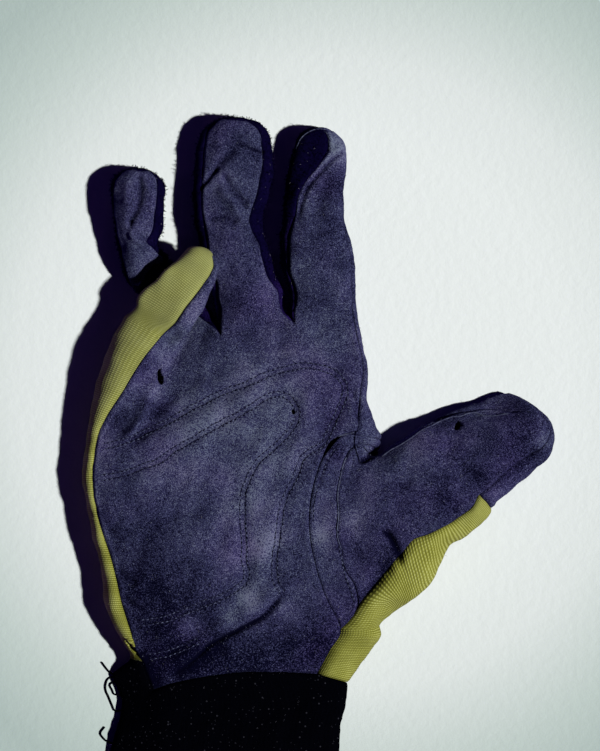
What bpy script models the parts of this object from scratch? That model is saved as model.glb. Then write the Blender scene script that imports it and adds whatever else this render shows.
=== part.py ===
"""Worn right-hand work glove, empty, lying palm up on a flat surface.

Metres, +Z up, +Y towards the fingertips, +X towards the thumb. The outer skin of the whole glove
is one welded grid of quads; each cut piece takes its own quads of it, with a wall inwards.
"""

import math

import bmesh
import bpy
import numpy as np

MM = 0.001
SEAM_GAP = 0.5  # mm between two pieces along a seam
GUSSET_EASE = 0.35  # mm more at the side strips' edges, which turn sharply at the crotches
FINGER_COLUMNS = 4  # quads across each finger's front, and across its back
SIDE_COLUMNS = 3  # quads down each side wall
PALM_ROWS = 1  # rows of quads between two rows of the palm's tables
DIGIT_ROWS = 2
CUFF_ROWS = 1
TIP_ROWS = 4
SHARP = 0.3  # cosine between a border's two edges at a corner
SECTION_POWER = 2.3  # 2 is an ellipse, more is boxier

# piece: wall in mm, colour
PIECES = {
    "palm_front": (1.4, (0.20, 0.22, 0.30)),
    "back_panel": (1.3, (0.42, 0.44, 0.12)),
    "gusset_little_ring": (1.1, (0.03, 0.03, 0.04)),
    "gusset_ring_middle": (1.1, (0.03, 0.03, 0.04)),
    "gusset_middle_index": (1.1, (0.03, 0.03, 0.04)),
    "index_side": (1.4, (0.20, 0.22, 0.30)),
    "thumb_strip": (1.4, (0.20, 0.22, 0.30)),
    "thumb_front": (1.4, (0.20, 0.22, 0.30)),
    "thumb_back": (1.3, (0.42, 0.44, 0.12)),
    "thumb_cap": (1.4, (0.20, 0.22, 0.30)),
    "cuff": (1.8, (0.02, 0.02, 0.025)),
}

# The palm's two long edges in mm, wrist to finger roots. seam: where the front piece ends, out: the
# silhouette of the side wall, back: where the wall has turned under.
# seam_x, seam_y, seam_z, out_x, out_y, back_x, back_y, back_z
ULNAR_EDGE = (
    (-27.5, -98.5, 8.0, -39.0, -92.5, -33.0, -94.0, 0.0),
    (-31.5, -88.0, 10.0, -35.2, -86.5, -30.0, -87.0, 0.0),
    (-35.0, -78.5, 11.5, -40.3, -78.5, -34.3, -78.5, 0.0),
    (-39.0, -66.0, 12.5, -46.0, -66.0, -40.0, -66.0, 0.0),
    (-43.0, -49.5, 13.0, -48.5, -49.5, -42.5, -49.5, 0.0),
    (-48.0, -33.0, 13.0, -51.5, -32.5, -45.5, -33.0, 0.0),
    (-50.0, -18.0, 13.5, -53.8, -18.0, -47.5, -18.0, 0.0),
    (-48.5, -4.0, 14.0, -52.8, -3.5, -46.5, -4.0, 0.0),
    (-45.0, 4.5, 15.5, -50.5, 7.0, -44.0, 5.0, 0.5),
    (-38.5, 14.5, 18.0, -47.5, 18.0, -40.5, 14.5, 3.0),
    (-31.0, 26.5, 20.5, -43.5, 32.5, -36.5, 28.5, 7.5),
    (-24.0, 35.5, 21.5, -38.5, 43.0, -32.5, 39.5, 10.0),
)
RADIAL_EDGE = (
    (35.0, -92.5, 9.0, 47.0, -96.0, 40.0, -95.0, 0.0),
    (40.0, -83.5, 11.0, 55.5, -83.0, 48.0, -83.0, 0.0),
    (44.0, -75.5, 13.0, 60.0, -75.5, 52.0, -75.0, 0.0),
    (37.5, -61.0, 14.5, 51.0, -61.0, 47.0, -61.0, 0.0),
    (33.0, -45.0, 15.5, 46.0, -45.0, 43.0, -44.5, 0.0),
    (32.0, -31.0, 16.0, 45.0, -31.0, 41.0, -31.0, 0.0),
    (34.5, -17.0, 15.5, 47.0, -18.0, 43.0, -18.5, 0.0),
    (39.5, -6.0, 14.5, 51.0, -9.0, 47.0, -9.5, 0.0),
    (46.0, 0.0, 13.0, 57.5, -4.0, 51.0, -4.5, 0.0),
    (52.0, 8.5, 12.5, 55.5, 8.0, 49.5, 8.0, 0.0),
    (53.0, 22.0, 12.0, 55.0, 22.0, 49.0, 22.0, 0.0),
    (49.5, 38.0, 12.0, 51.0, 38.0, 45.0, 38.0, 0.0),
)
THUMB_LOW, THUMB_HIGH = 2, 8  # rows of RADIAL_EDGE between which the thumb leaves the palm

# x, y from the little finger's side to the thumb's side; the inner three of the roots are the crotches
WRIST_FRONT = ((-27.5, -98.5), (-17.0, -95.0), (2.0, -92.0), (19.0, -91.5), (35.0, -92.5))
ROOTS_FRONT = ((-24.0, 35.5), (-19.0, 30.5), (-1.5, 35.5), (26.5, 40.0), (49.5, 38.0))
WRIST_BACK = ((-33.0, -94.0), (-14.0, -94.0), (4.0, -93.5), (22.0, -94.0), (40.0, -95.0))
ROOTS_BACK = ((-32.5, 39.5), (-24.0, 33.0), (-1.5, 34.5), (26.0, 39.0), (45.0, 38.0))

# Height of the palm piece a quarter, half and three quarters across, wrist to roots
PALM_HEIGHT = (
    (11.0, 12.0, 11.0),
    (14.5, 15.5, 15.0),
    (16.0, 17.5, 17.5),
    (16.0, 18.0, 17.5),
    (14.5, 15.5, 15.5),
    (11.0, 12.5, 13.0),
)
BACK_HEIGHT = (
    (0.0, 0.0, 0.0),
    (0.0, 0.0, 0.0),
    (0.0, 0.0, 0.0),
    (0.0, 0.0, 0.0),
    (0.0, 0.0, 0.0),
    (4.0, 0.0, 0.0),
)

# Digits, root to tip, each row one section: x, y, z of its middle, half width, half height, then the
# angles in degrees, up from the thumb-side end of the section, at which its four seams run:
# left_front, right_front, right_back, left_back
LITTLE = (
    (-23.0, 43.5, 17.2, 11.8, 6.0, 66, -40, -128, -190),
    (-17.5, 50.5, 17.6, 11.4, 5.8, 68, -40, -128, -190),
    (-12.0, 58.0, 18.0, 9.6, 5.2, 60, -40, -128, -190),
    (-8.3, 63.5, 18.2, 7.6, 4.6, 45, -40, -125, -190),
)
RING = (
    (-14.5, 44.5, 3.3, 8.0, 3.6, 165, 80, -35, -140),
    (-27.4, 59.2, 3.5, 9.2, 4.0, 200, 160, -35, -140),
    (-30.9, 65.8, 4.0, 8.7, 4.6, 150, 42, -35, -140),
    (-33.5, 76.0, 5.2, 9.0, 5.8, 153, 52, -35, -140),
    (-33.0, 85.5, 6.0, 10.2, 6.6, 156, 46, -35, -140),
    (-32.8, 92.5, 5.8, 10.3, 6.4, 152, 44, -35, -140),
)
MIDDLE = (
    (9.0, 49.5, 6.8, 12.9, 7.6, 150, 37, -35, -145),
    (5.8, 62.5, 7.0, 12.3, 7.8, 142, 45, -35, -145),
    (2.4, 74.0, 7.0, 12.4, 7.8, 136, 48, -35, -145),
    (1.4, 82.0, 6.8, 13.2, 7.6, 137, 51, -35, -145),
    (2.2, 91.0, 6.8, 14.5, 7.6, 140, 47, -35, -145),
    (3.6, 102.5, 6.8, 15.2, 7.6, 142, 45, -35, -145),
    (3.8, 109.0, 6.6, 13.6, 7.2, 145, 44, -35, -145),
)
INDEX = (
    (36.5, 51.5, 6.4, 12.7, 7.2, 139, 27, -35, -140),
    (35.3, 66.5, 6.6, 13.0, 7.4, 138, 27, -38, -145),
    (33.9, 80.0, 6.6, 11.8, 7.4, 128, 14, -50, -155),
    (33.7, 91.0, 6.6, 11.2, 7.2, 110, 6, -62, -170),
    (35.0, 100.5, 6.4, 10.6, 7.0, 88, 0, -72, -185),
    (36.0, 107.0, 6.2, 9.4, 6.6, 74, -4, -76, -195),
)
THUMB = (
    (64.5, -36.5, 8.6, 28.0, 9.6, 192, 72, -28, -150),
    (78.0, -23.0, 8.0, 22.2, 9.0, 187, 52, -28, -152),
    (89.5, -15.0, 7.6, 21.6, 8.4, 178, 53, -28, -150),
    (102.5, -5.0, 7.2, 19.0, 8.0, 144, 55, -32, -148),
    (112.5, -0.5, 6.6, 15.0, 7.2, 120, 53, -32, -148),
)
# Reach in mm of the rounded tip past the last section, and its bend sideways
TIPS = {
    "little": (5.5, 0.3),
    "ring": (6.5, 0.0),
    "middle": (9.5, 0.0),
    "index": (7.5, -1.5),
    "thumb": (12.0, -2.5),
}
TIP_HEIGHT_KEPT = 0.45  # share of the section's height left at the very tip
STRIP_SHARE = 0.44  # of the way from the palm to the thumb's first section
CAP_FROM = 3.1  # thumb section at which the cap starts

# Cuff, wrist to mouth: y, left and right edge, height
CUFF = (
    (-103.0, -36.5, 46.0, 11.0),
    (-112.0, -37.8, 44.0, 12.0),
    (-125.0, -40.0, 42.8, 12.5),
    (-139.0, -41.0, 42.5, 13.0),
)


def clear_scene():
    for item in list(bpy.data.objects):
        bpy.data.objects.remove(item, do_unlink=True)


def along(table, positions):
    """Rows of a table read at fractional row numbers, on a smooth curve through them."""
    rows = np.asarray(table, float)
    rows = np.concatenate([[2 * rows[0] - rows[1]], rows, [2 * rows[-1] - rows[-2]]])
    positions = np.clip(np.asarray(positions, float), 0, len(rows) - 3)
    start = np.minimum(positions.astype(int), len(rows) - 4)
    t = (positions - start).reshape((-1,) + (1,) * (rows.ndim - 1))
    a, b, c, d = rows[start], rows[start + 1], rows[start + 2], rows[start + 3]
    return 0.5 * (2 * b + (c - a) * t + (2 * a - 5 * b + 4 * c - d) * t**2 + (3 * b - a - 3 * c + d) * t**3)


def patch(left, right, low, high):
    """A grid of plan points that fills four edge curves: rows run left's way, columns low's way."""
    v = np.linspace(0, 1, len(left))[:, None, None]
    u = np.linspace(0, 1, len(low))[None, :, None]
    sides = (1 - u) * left[:, None] + u * right[:, None]
    ends = (1 - v) * low[None] + v * high[None]
    corners = (1 - v) * ((1 - u) * low[0] + u * low[-1]) + v * ((1 - u) * high[0] + u * high[-1])
    return sides + ends - corners


def heights(table, left_z, right_z, rows, columns):
    """Heights over a palm grid, from the two edges' own heights and the table's three between them."""
    inner = along(table, np.linspace(0, len(table) - 1, rows))
    across = np.column_stack([left_z, inner, right_z])
    return along(across.T, np.linspace(0, 4, columns)).T


def side_wall(front, out, back, columns):
    """From a front seam round the silhouette to under the glove, one row per pair of points."""
    w = np.linspace(0, 1, columns + 1)[None, :, None]
    plan = (8 * out - front[:, :2] - back[:, :2]) / 6
    high = np.column_stack([plan, 0.92 * front[:, 2]])[:, None]
    low = np.column_stack([plan, back[:, 2]])[:, None]
    return (
        (1 - w) ** 3 * front[:, None]
        + 3 * w * (1 - w) ** 2 * high
        + 3 * w**2 * (1 - w) * low
        + w**3 * back[:, None]
    )


def ring_angles(row, front_columns):
    left, right, right_back, left_back = row[5:]
    runs = (
        (left, right, front_columns),
        (right, right_back, SIDE_COLUMNS),
        (right_back, left_back, front_columns),
        (left_back, left - 360, SIDE_COLUMNS),
    )
    return np.radians(np.concatenate([np.linspace(a, b, n + 1)[:-1] for a, b, n in runs]))


def ring(row, direction, front_columns):
    """One section's closed ring: front left to right, right side, back right to left, left side."""
    x, y, z, half_width, half_height = row[:5]
    angles = ring_angles(row, front_columns)
    across = np.sign(np.cos(angles)) * abs(np.cos(angles)) ** (2 / SECTION_POWER) * half_width
    up = np.sign(np.sin(angles)) * abs(np.sin(angles)) ** (2 / SECTION_POWER) * half_height
    side = np.array([direction[1], -direction[0]])
    plan = np.array([x, y]) + across[:, None] * side
    return np.column_stack([plan, np.maximum(z + up, 0)])


def unit(vector):
    return vector / max(np.linalg.norm(vector), 1e-9)


def digit(sections, tip, root, before, front_columns, shares):
    """The digit's rings of points from its root ring to its tip.

    before is the ring just behind the root, which gives the skin its direction as it leaves the palm.
    """
    sections = np.asarray(sections, float)
    middles = np.vstack([root[:, :2].mean(0), sections[:, :2]])
    count = len(middles)
    directions = [unit(middles[min(i + 1, count - 1)] - middles[i - 1]) for i in range(1, count)]
    keys = [before, root] + [ring(row, d, front_columns) for row, d in zip(sections, directions)]
    last, heading = sections[-1], directions[-1]
    reach, bend = tip
    ends = []
    for angle in np.linspace(0, math.pi / 2, TIP_ROWS + 1)[1:]:
        shape = last.copy()
        sideways = np.array([heading[1], -heading[0]]) * bend * (1 - math.cos(angle))
        shape[:2] += heading * reach * math.sin(angle) + sideways
        shape[3] *= max(math.cos(angle), 0.02)
        shape[4] *= TIP_HEIGHT_KEPT + (1 - TIP_HEIGHT_KEPT) * math.cos(angle)
        ends.append(ring(shape, heading, front_columns))
    keys.append(ends[1])
    rings = along(np.array(keys), 1 + np.asarray(shares))
    rings[..., 2] = np.maximum(rings[..., 2], 0)
    apex = np.broadcast_to(ends[-1].mean(0), ends[-1].shape)
    return np.concatenate([rings, ends[:-1], apex[None]])


def blend(start, end, columns):
    w = np.linspace(0, 1, columns + 1)[:, None]
    return (1 - w) * start + w * end


def closed_ring(front, right, back, left):
    """Four open runs joined head to tail into one ring without repeated points."""
    return np.concatenate([front[:-1], right[:-1], back[:-1], left[:-1]])


def cuff_ring(y, left, right, height, columns):
    u = np.linspace(0, 1, columns + 1)
    x = left + 4 + (right - left - 8) * u
    level = np.full_like(x, y)
    front = np.column_stack([x, level, height * (1 - 0.18 * abs(2 * u - 1) ** 5)])
    back = np.column_stack([x, level, np.zeros_like(x)])[::-1]
    walls = []
    for edge, corner, under in ((right, front[-1], back[0]), (left, front[0], back[-1])):
        walls.append(side_wall(corner[None], np.array([[edge, y]]), under[None], SIDE_COLUMNS)[0])
    return closed_ring(front, walls[0], back, walls[1][::-1])


def root_rings(runs, front_shift, back_shift):
    """The ring of four runs, and the ring just behind it on the palm."""
    shifts = [
        front_shift,
        blend(front_shift[-1], back_shift[0], SIDE_COLUMNS),
        back_shift,
        blend(back_shift[-1], front_shift[0], SIDE_COLUMNS),
    ]
    return closed_ring(*runs), closed_ring(*[run + shift for run, shift in zip(runs, shifts)])


def glove_skin():
    """Every grid of the outer skin, as (points, names): one piece name for each quad."""
    rows = PALM_ROWS * (len(ULNAR_EDGE) - 1) + 1
    steps = np.linspace(0, len(ULNAR_EDGE) - 1, rows)
    columns = 4 * FINGER_COLUMNS + 1
    ulnar, radial = along(ULNAR_EDGE, steps), along(RADIAL_EDGE, steps)
    places = np.linspace(0, 4, columns)
    plan = patch(ulnar[:, :2], radial[:, :2], along(WRIST_FRONT, places), along(ROOTS_FRONT, places))
    front = np.dstack([plan, heights(PALM_HEIGHT, ulnar[:, 2], radial[:, 2], rows, columns)])
    plan = patch(ulnar[:, 5:7], radial[:, 5:7], along(WRIST_BACK, places), along(ROOTS_BACK, places))
    back = np.dstack([plan, heights(BACK_HEIGHT, ulnar[:, 7], radial[:, 7], rows, columns)])
    back[..., 2] = np.maximum(back[..., 2], 0)
    outer = side_wall(front[:, 0], ulnar[:, 3:5], back[:, 0], SIDE_COLUMNS)
    inner = side_wall(front[:, -1], radial[:, 3:5], back[:, -1], SIDE_COLUMNS)
    low, high = THUMB_LOW * PALM_ROWS, THUMB_HIGH * PALM_ROWS
    cuff_rows = [["cuff"] * SIDE_COLUMNS] * PALM_ROWS  # the cuff wraps up round the outer corner
    grids = [
        (front, "palm_front"),
        (back, "back_panel"),
        (outer, cuff_rows + [["back_panel"] * SIDE_COLUMNS] * (rows - 1 - len(cuff_rows))),
        (inner[: low + 1], "thumb_back"),
        (inner[high:], "index_side"),
    ]
    crotches = [blend(front[-1, i * FINGER_COLUMNS], back[-1, i * FINGER_COLUMNS], SIDE_COLUMNS) for i in range(5)]
    crotches[0], crotches[4] = outer[-1], inner[-1]
    fingers = (
        ("little", LITTLE, "back_panel", "gusset_little_ring"),
        ("ring", RING, "gusset_little_ring", "gusset_ring_middle"),
        ("middle", MIDDLE, "gusset_ring_middle", "gusset_middle_index"),
        ("index", INDEX, "gusset_middle_index", "index_side"),
    )
    for number, (name, sections, left_name, right_name) in enumerate(fingers):
        cut = slice(number * FINGER_COLUMNS, (number + 1) * FINGER_COLUMNS + 1)
        runs = [front[-1, cut], crotches[number + 1], back[-1, cut][::-1], crotches[number][::-1]]
        front_shift = front[-1 - PALM_ROWS, cut] - front[-1, cut]
        back_shift = (back[-1 - PALM_ROWS, cut] - back[-1, cut])[::-1]
        root, before = root_rings(runs, front_shift, back_shift)
        shares = np.linspace(0, len(sections), DIGIT_ROWS * len(sections) + 1)
        rings = digit(sections, TIPS[name], root, before, FINGER_COLUMNS, shares)
        names = ["palm_front"] * FINGER_COLUMNS + [right_name] * SIDE_COLUMNS
        names += ["back_panel"] * FINGER_COLUMNS + [left_name] * SIDE_COLUMNS
        closed = np.concatenate([rings, rings[:, :1]], axis=1)
        half = FINGER_COLUMNS // 2
        end = [left_name] * half + [right_name] * (2 * half + SIDE_COLUMNS)
        end += [left_name] * (half + SIDE_COLUMNS)
        if name == "little":
            end = ["back_panel"] * len(names)
        grids.append((closed, [names] * (len(rings) - 2) + [end]))
    grids.append(thumb_grid(front, back, inner, low, high))
    wrist = closed_ring(front[0], inner[0], back[0][::-1], outer[0][::-1])
    rings = np.array([wrist] + [cuff_ring(*row, columns - 1) for row in CUFF])
    rings = along(rings, np.linspace(0, len(CUFF), CUFF_ROWS * len(CUFF) + 1))
    rings[..., 2] = np.maximum(rings[..., 2], 0)
    grids.append((np.concatenate([rings, rings[:, :1]], axis=1), "cuff"))
    return grids


def thumb_grid(front, back, inner, low, high):
    columns = high - low
    top, bottom = front[low : high + 1], back[low : high + 1]
    runs = [top[::-1, -1], inner[low], bottom[:, -1], inner[high][::-1]]
    reach = FINGER_COLUMNS // 2
    top_shift, bottom_shift = top[:, -1 - reach] - top[:, -1], bottom[:, -1 - reach] - bottom[:, -1]
    root, before = root_rings(runs, top_shift[::-1], bottom_shift)
    strip = np.linspace(0, STRIP_SHARE, DIGIT_ROWS)[:-1]
    shares = np.concatenate(
        [
            strip,
            np.linspace(STRIP_SHARE, 1, DIGIT_ROWS + 1),
            np.linspace(1, CAP_FROM, 2 * DIGIT_ROWS + 2)[1:],
            np.linspace(CAP_FROM, len(THUMB), DIGIT_ROWS + 2)[1:],
        ]
    )
    rings = digit(THUMB, TIPS["thumb"], root, before, columns, shares)
    names = []
    for row in range(len(rings) - 1):
        share = shares[row] if row < len(shares) else len(THUMB)
        above = "thumb_strip" if share < STRIP_SHARE - 1e-6 else "thumb_front"
        capped = share > CAP_FROM - 1e-6
        below = "thumb_cap" if capped else "thumb_back"
        beside = "thumb_cap" if capped else above
        names.append([above] * columns + [below] * (SIDE_COLUMNS + columns) + [beside] * SIDE_COLUMNS)
    names[-1] = ["thumb_cap"] * len(names[-1])
    return np.concatenate([rings, rings[:, :1]], axis=1), names


def weld(grids):
    """All grids as one list of points and faces, each face with its piece's name."""
    points, faces, names = [], [], []
    for grid, labels in grids:
        rows, columns = grid.shape[:2]
        start = len(points)
        points.extend(grid.reshape(-1, 3))
        for row in range(rows - 1):
            for column in range(columns - 1):
                corner = start + row * columns + column
                faces.append((corner, corner + 1, corner + columns + 1, corner + columns))
                names.append(labels if isinstance(labels, str) else labels[row][column])
    _, first, index = np.unique(np.round(points, 3), axis=0, return_index=True, return_inverse=True)
    index = index.reshape(-1)
    kept_faces, kept_names = [], []
    for face, name in zip(faces, names):
        corners = list(dict.fromkeys(int(corner) for corner in index[list(face)]))
        if len(corners) > 2:
            kept_faces.append(corners)
            kept_names.append(name)
    return np.array(points)[first], kept_faces, kept_names


def skin_normals(points, faces):
    """The faces turned outwards, and each point's outward normal."""
    mesh = bmesh.new()
    vertices = [mesh.verts.new(point) for point in points]
    made = [mesh.faces.new([vertices[i] for i in face]) for face in faces]
    bmesh.ops.recalc_face_normals(mesh, faces=mesh.faces)
    mesh.verts.index_update()
    mesh.normal_update()
    turned = [[corner.index for corner in (loop.vert for loop in face.loops)] for face in made]
    normals = np.array([vertex.normal for vertex in mesh.verts])
    if made[0].normal.z < 0:
        turned, normals = [face[::-1] for face in turned], -normals
    mesh.free()
    return turned, normals


def border_edges(faces):
    """The directed edges that only one of the faces has."""
    edges = {(a, b) for face in faces for a, b in zip(face, face[1:] + face[:1])}
    return [(a, b) for a, b in edges if (b, a) not in edges]


def drawn_in(points, normals, faces, distance):
    """The points with the piece's border moved in along the skin."""
    moved = points.copy()
    touching = np.bincount(np.concatenate(faces), minlength=len(points))
    following = dict(border_edges(faces))
    leading = {b: a for a, b in following.items()}
    for corner, after in following.items():
        ahead = unit(points[after] - points[corner])
        astern = unit(points[leading[corner]] - points[corner])
        if ahead @ astern > SHARP and touching[corner] > 2:  # the end of a slit between two fingers
            moved[corner] = points[corner] - unit(ahead + astern) * distance * 3
            continue
        if ahead @ astern > SHARP:  # a point, or a side strip's turn at a crotch
            middles = [points[face].mean(0) for face in faces if corner in face]
            moved[corner] = points[corner] + unit(np.mean(middles, axis=0) - points[corner]) * distance * 3
            continue
        inwards = unit(np.cross(normals[corner], unit(ahead - astern)))
        slant = max(np.linalg.norm(np.cross(ahead, inwards)), 0.3)
        moved[corner] = points[corner] + inwards * distance / slant
    moved[:, 2] = np.maximum(moved[:, 2], 0)
    return moved


def add_piece(name, points, normals, faces, collection):
    wall, colour = PIECES[name]
    ease = GUSSET_EASE if name.startswith("gusset") else 0
    outside = drawn_in(points, normals, faces, 0.5 * SEAM_GAP + ease)
    inside = outside - wall * normals
    used = sorted({corner for face in faces for corner in face})
    place = {corner: i for i, corner in enumerate(used)}
    count = len(used)
    solid = [[place[i] for i in face] for face in faces]
    solid += [[place[i] + count for i in face[::-1]] for face in faces]
    solid += [[place[b], place[a], place[a] + count, place[b] + count] for a, b in border_edges(faces)]
    mesh = bpy.data.meshes.new(name)
    mesh.from_pydata(np.concatenate([outside[used], inside[used]]) * MM, [], solid)
    material = bpy.data.materials.new(name)
    material.use_nodes = True
    shader = material.node_tree.nodes["Principled BSDF"]
    shader.inputs["Base Color"].default_value = (*colour, 1)
    shader.inputs["Roughness"].default_value = 0.9
    mesh.materials.append(material)
    collection.objects.link(bpy.data.objects.new(name, mesh))


def build():
    clear_scene()
    collection = bpy.data.collections.new("work_glove")
    bpy.context.scene.collection.children.link(collection)
    points, faces, names = weld(glove_skin())
    points[:, :2] -= (points[:, :2].min(0) + points[:, :2].max(0)) / 2
    faces, normals = skin_normals(points, faces)
    for piece in PIECES:
        own = [face for face, name in zip(faces, names) if name == piece]
        add_piece(piece, points, normals, own, collection)


build()
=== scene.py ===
"""Worn right-hand work glove, empty, lying palm up on a pale floor.

The skin is one smooth surface from the same sizes as the frame's solids, in mm. Folds with painted shade,
wear with painted light, holes and seams are put into it, and each cut piece is then taken from it as a thin
shell.
"""

import math

import bmesh
import bpy
import numpy as np
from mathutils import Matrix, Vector
from mathutils.bvhtree import BVHTree
from mathutils.kdtree import KDTree


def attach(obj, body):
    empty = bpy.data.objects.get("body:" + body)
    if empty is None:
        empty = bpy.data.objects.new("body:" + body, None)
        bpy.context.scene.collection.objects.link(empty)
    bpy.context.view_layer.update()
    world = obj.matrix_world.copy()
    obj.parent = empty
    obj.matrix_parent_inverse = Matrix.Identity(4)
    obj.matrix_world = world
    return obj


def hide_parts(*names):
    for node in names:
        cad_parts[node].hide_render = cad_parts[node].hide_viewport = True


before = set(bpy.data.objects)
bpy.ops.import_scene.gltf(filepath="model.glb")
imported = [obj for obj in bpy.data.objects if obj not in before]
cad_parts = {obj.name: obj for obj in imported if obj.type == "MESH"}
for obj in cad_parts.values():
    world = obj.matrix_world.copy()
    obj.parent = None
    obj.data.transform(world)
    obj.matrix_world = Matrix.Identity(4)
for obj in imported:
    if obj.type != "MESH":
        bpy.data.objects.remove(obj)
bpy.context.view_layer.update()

MM = 0.001
CENTRE = (35.2, -10.3)  # where the frame's middle lies in the tables, mm
FINGER_COLUMNS = 32  # quads across each finger's front, and across its back
SIDE_COLUMNS = 10  # quads down each side wall
PALM_ROWS = 15  # rows of quads between two rows of the palm's tables
DIGIT_ROWS = 13
THUMB_ROWS = 20
CUFF_ROWS = 14
TIP_ROWS = 12
TIP_SEAM_ROWS = 3  # rows at the very tip that belong to the side pieces
SECTION_POWER = 2.3  # 2 is an ellipse, more is boxier
SEAM_DRAW = 0.10  # how far each piece's edge is drawn back from the seam's middle, mm
SEAM_SINK = 0.40  # how far the edge sinks into the seam, mm
SEAM_REACH = 4  # how far from a seam its edge still moves the cloth, mm
STITCH_PITCH = 1.75
STITCH_SIZE = (0.60, 0.22, 0.17)  # half length, half width, half height, mm
NEEDLE_HOLE_SIZE = (0.54, 0.34, 0.15)
ROW_OFFSET = 1.05  # from the middle of a double row to each of its rows, mm
KNIT_ROW, KNIT_WALE = 0.80, 0.95  # the yellow knit's rows and wales, mm apart
CUFF_LOOP, CUFF_RIB = 0.9, 1.9  # the cuff's rows and ribs, mm apart
CORD_STEP = 0.8  # mm between the points of a cord or thread
CORD_SIDES, FIBRE_SIDES = 6, 3
CORD_DROP = 12.0  # height from which a seam's cord is laid on the nearest cloth, mm
RIM_REACH, RIM_LIFT = 1.4, 0.25  # a cord this near a cut edge follows it, and lies this high on it, mm
PIPING_RADIUS, THREAD_RADIUS = 0.22, 0.33
# The floor's colour darkens away from its middle: painted falloff of the light
FLOOR_FADE = 0.20  # m from the middle over which the floor's colour changes
VIEW_MIDDLE = (-0.0067, 0.0310)
VIEW_HEIGHT = 2.5
VIEW_LENS = 36 * VIEW_HEIGHT / 0.2854  # the view is 285.4 mm high
FLOOR_MIDDLE = (0.0047, 0.031, 0)
FLOOR_BOUNCE = (0.08, 0.04, 0.32)  # the floor's colour for the light it throws back on the glove

# The palm's two long edges in mm, wrist to finger roots. seam: where the front piece ends, out: the
# silhouette of the side wall, back: where the wall has turned under.
# seam_x, seam_y, seam_z, out_x, out_y, back_x, back_y, back_z
ULNAR_EDGE = (
    (-27.5, -98.5, 8.0, -39.0, -92.5, -33.0, -94.0, 0.0),
    (-31.5, -88.0, 10.0, -35.2, -86.5, -30.0, -87.0, 0.0),
    (-35.0, -78.5, 11.5, -40.3, -78.5, -34.3, -78.5, 0.0),
    (-39.0, -66.0, 12.5, -46.0, -66.0, -40.0, -66.0, 0.0),
    (-43.0, -49.5, 13.0, -48.5, -49.5, -42.5, -49.5, 0.0),
    (-48.0, -33.0, 13.0, -51.5, -32.5, -45.5, -33.0, 0.0),
    (-50.0, -18.0, 13.5, -53.8, -18.0, -47.5, -18.0, 0.0),
    (-48.5, -4.0, 14.0, -52.8, -3.5, -46.5, -4.0, 0.0),
    (-45.0, 4.5, 15.5, -50.5, 7.0, -44.0, 5.0, 0.5),
    (-38.5, 14.5, 18.0, -47.5, 18.0, -40.5, 14.5, 3.0),
    (-31.0, 26.5, 20.5, -43.5, 32.5, -36.5, 28.5, 7.5),
    (-24.0, 35.5, 21.5, -38.5, 43.0, -32.5, 39.5, 10.0),
)
RADIAL_EDGE = (
    (35.0, -92.5, 9.0, 47.0, -96.0, 40.0, -95.0, 0.0),
    (40.0, -83.5, 11.0, 55.5, -83.0, 48.0, -83.0, 0.0),
    (44.0, -75.5, 13.0, 60.0, -75.5, 52.0, -75.0, 0.0),
    (37.5, -61.0, 14.5, 51.0, -61.0, 47.0, -61.0, 0.0),
    (33.0, -45.0, 15.5, 46.0, -45.0, 43.0, -44.5, 0.0),
    (32.0, -31.0, 16.0, 45.0, -31.0, 41.0, -31.0, 0.0),
    (34.5, -17.0, 15.5, 47.0, -18.0, 43.0, -18.5, 0.0),
    (39.5, -6.0, 14.5, 51.0, -9.0, 47.0, -9.5, 0.0),
    (46.0, 0.0, 13.0, 57.5, -4.0, 51.0, -4.5, 0.0),
    (52.0, 8.5, 12.5, 55.5, 8.0, 49.5, 8.0, 0.0),
    (53.0, 22.0, 12.0, 55.0, 22.0, 49.0, 22.0, 0.0),
    (49.5, 38.0, 12.0, 51.0, 38.0, 45.0, 38.0, 0.0),
)
THUMB_LOW, THUMB_HIGH = 2, 8  # rows of RADIAL_EDGE between which the thumb leaves the palm

# x, y from the little finger's side to the thumb's side; the inner three of the roots are the crotches
WRIST_FRONT = ((-27.5, -98.5), (-17.0, -95.0), (2.0, -92.0), (19.0, -91.5), (35.0, -92.5))
ROOTS_FRONT = ((-24.0, 35.5), (-19.0, 30.5), (-1.5, 35.5), (26.5, 40.0), (49.5, 38.0))
WRIST_BACK = ((-33.0, -94.0), (-14.0, -94.0), (4.0, -93.5), (22.0, -94.0), (40.0, -95.0))
ROOTS_BACK = ((-32.5, 39.5), (-24.0, 33.0), (-1.5, 34.5), (26.0, 39.0), (45.0, 38.0))

# Height of the palm piece a quarter, half and three quarters across, wrist to roots
PALM_HEIGHT = (
    (11.0, 12.0, 11.0),
    (14.5, 15.5, 15.0),
    (16.0, 17.5, 17.5),
    (16.0, 18.0, 17.5),
    (14.5, 15.5, 15.5),
    (11.0, 12.5, 13.0),
)
BACK_HEIGHT = (
    (0.0, 0.0, 0.0),
    (0.0, 0.0, 0.0),
    (0.0, 0.0, 0.0),
    (0.0, 0.0, 0.0),
    (0.0, 0.0, 0.0),
    (4.0, 0.0, 0.0),
)

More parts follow.
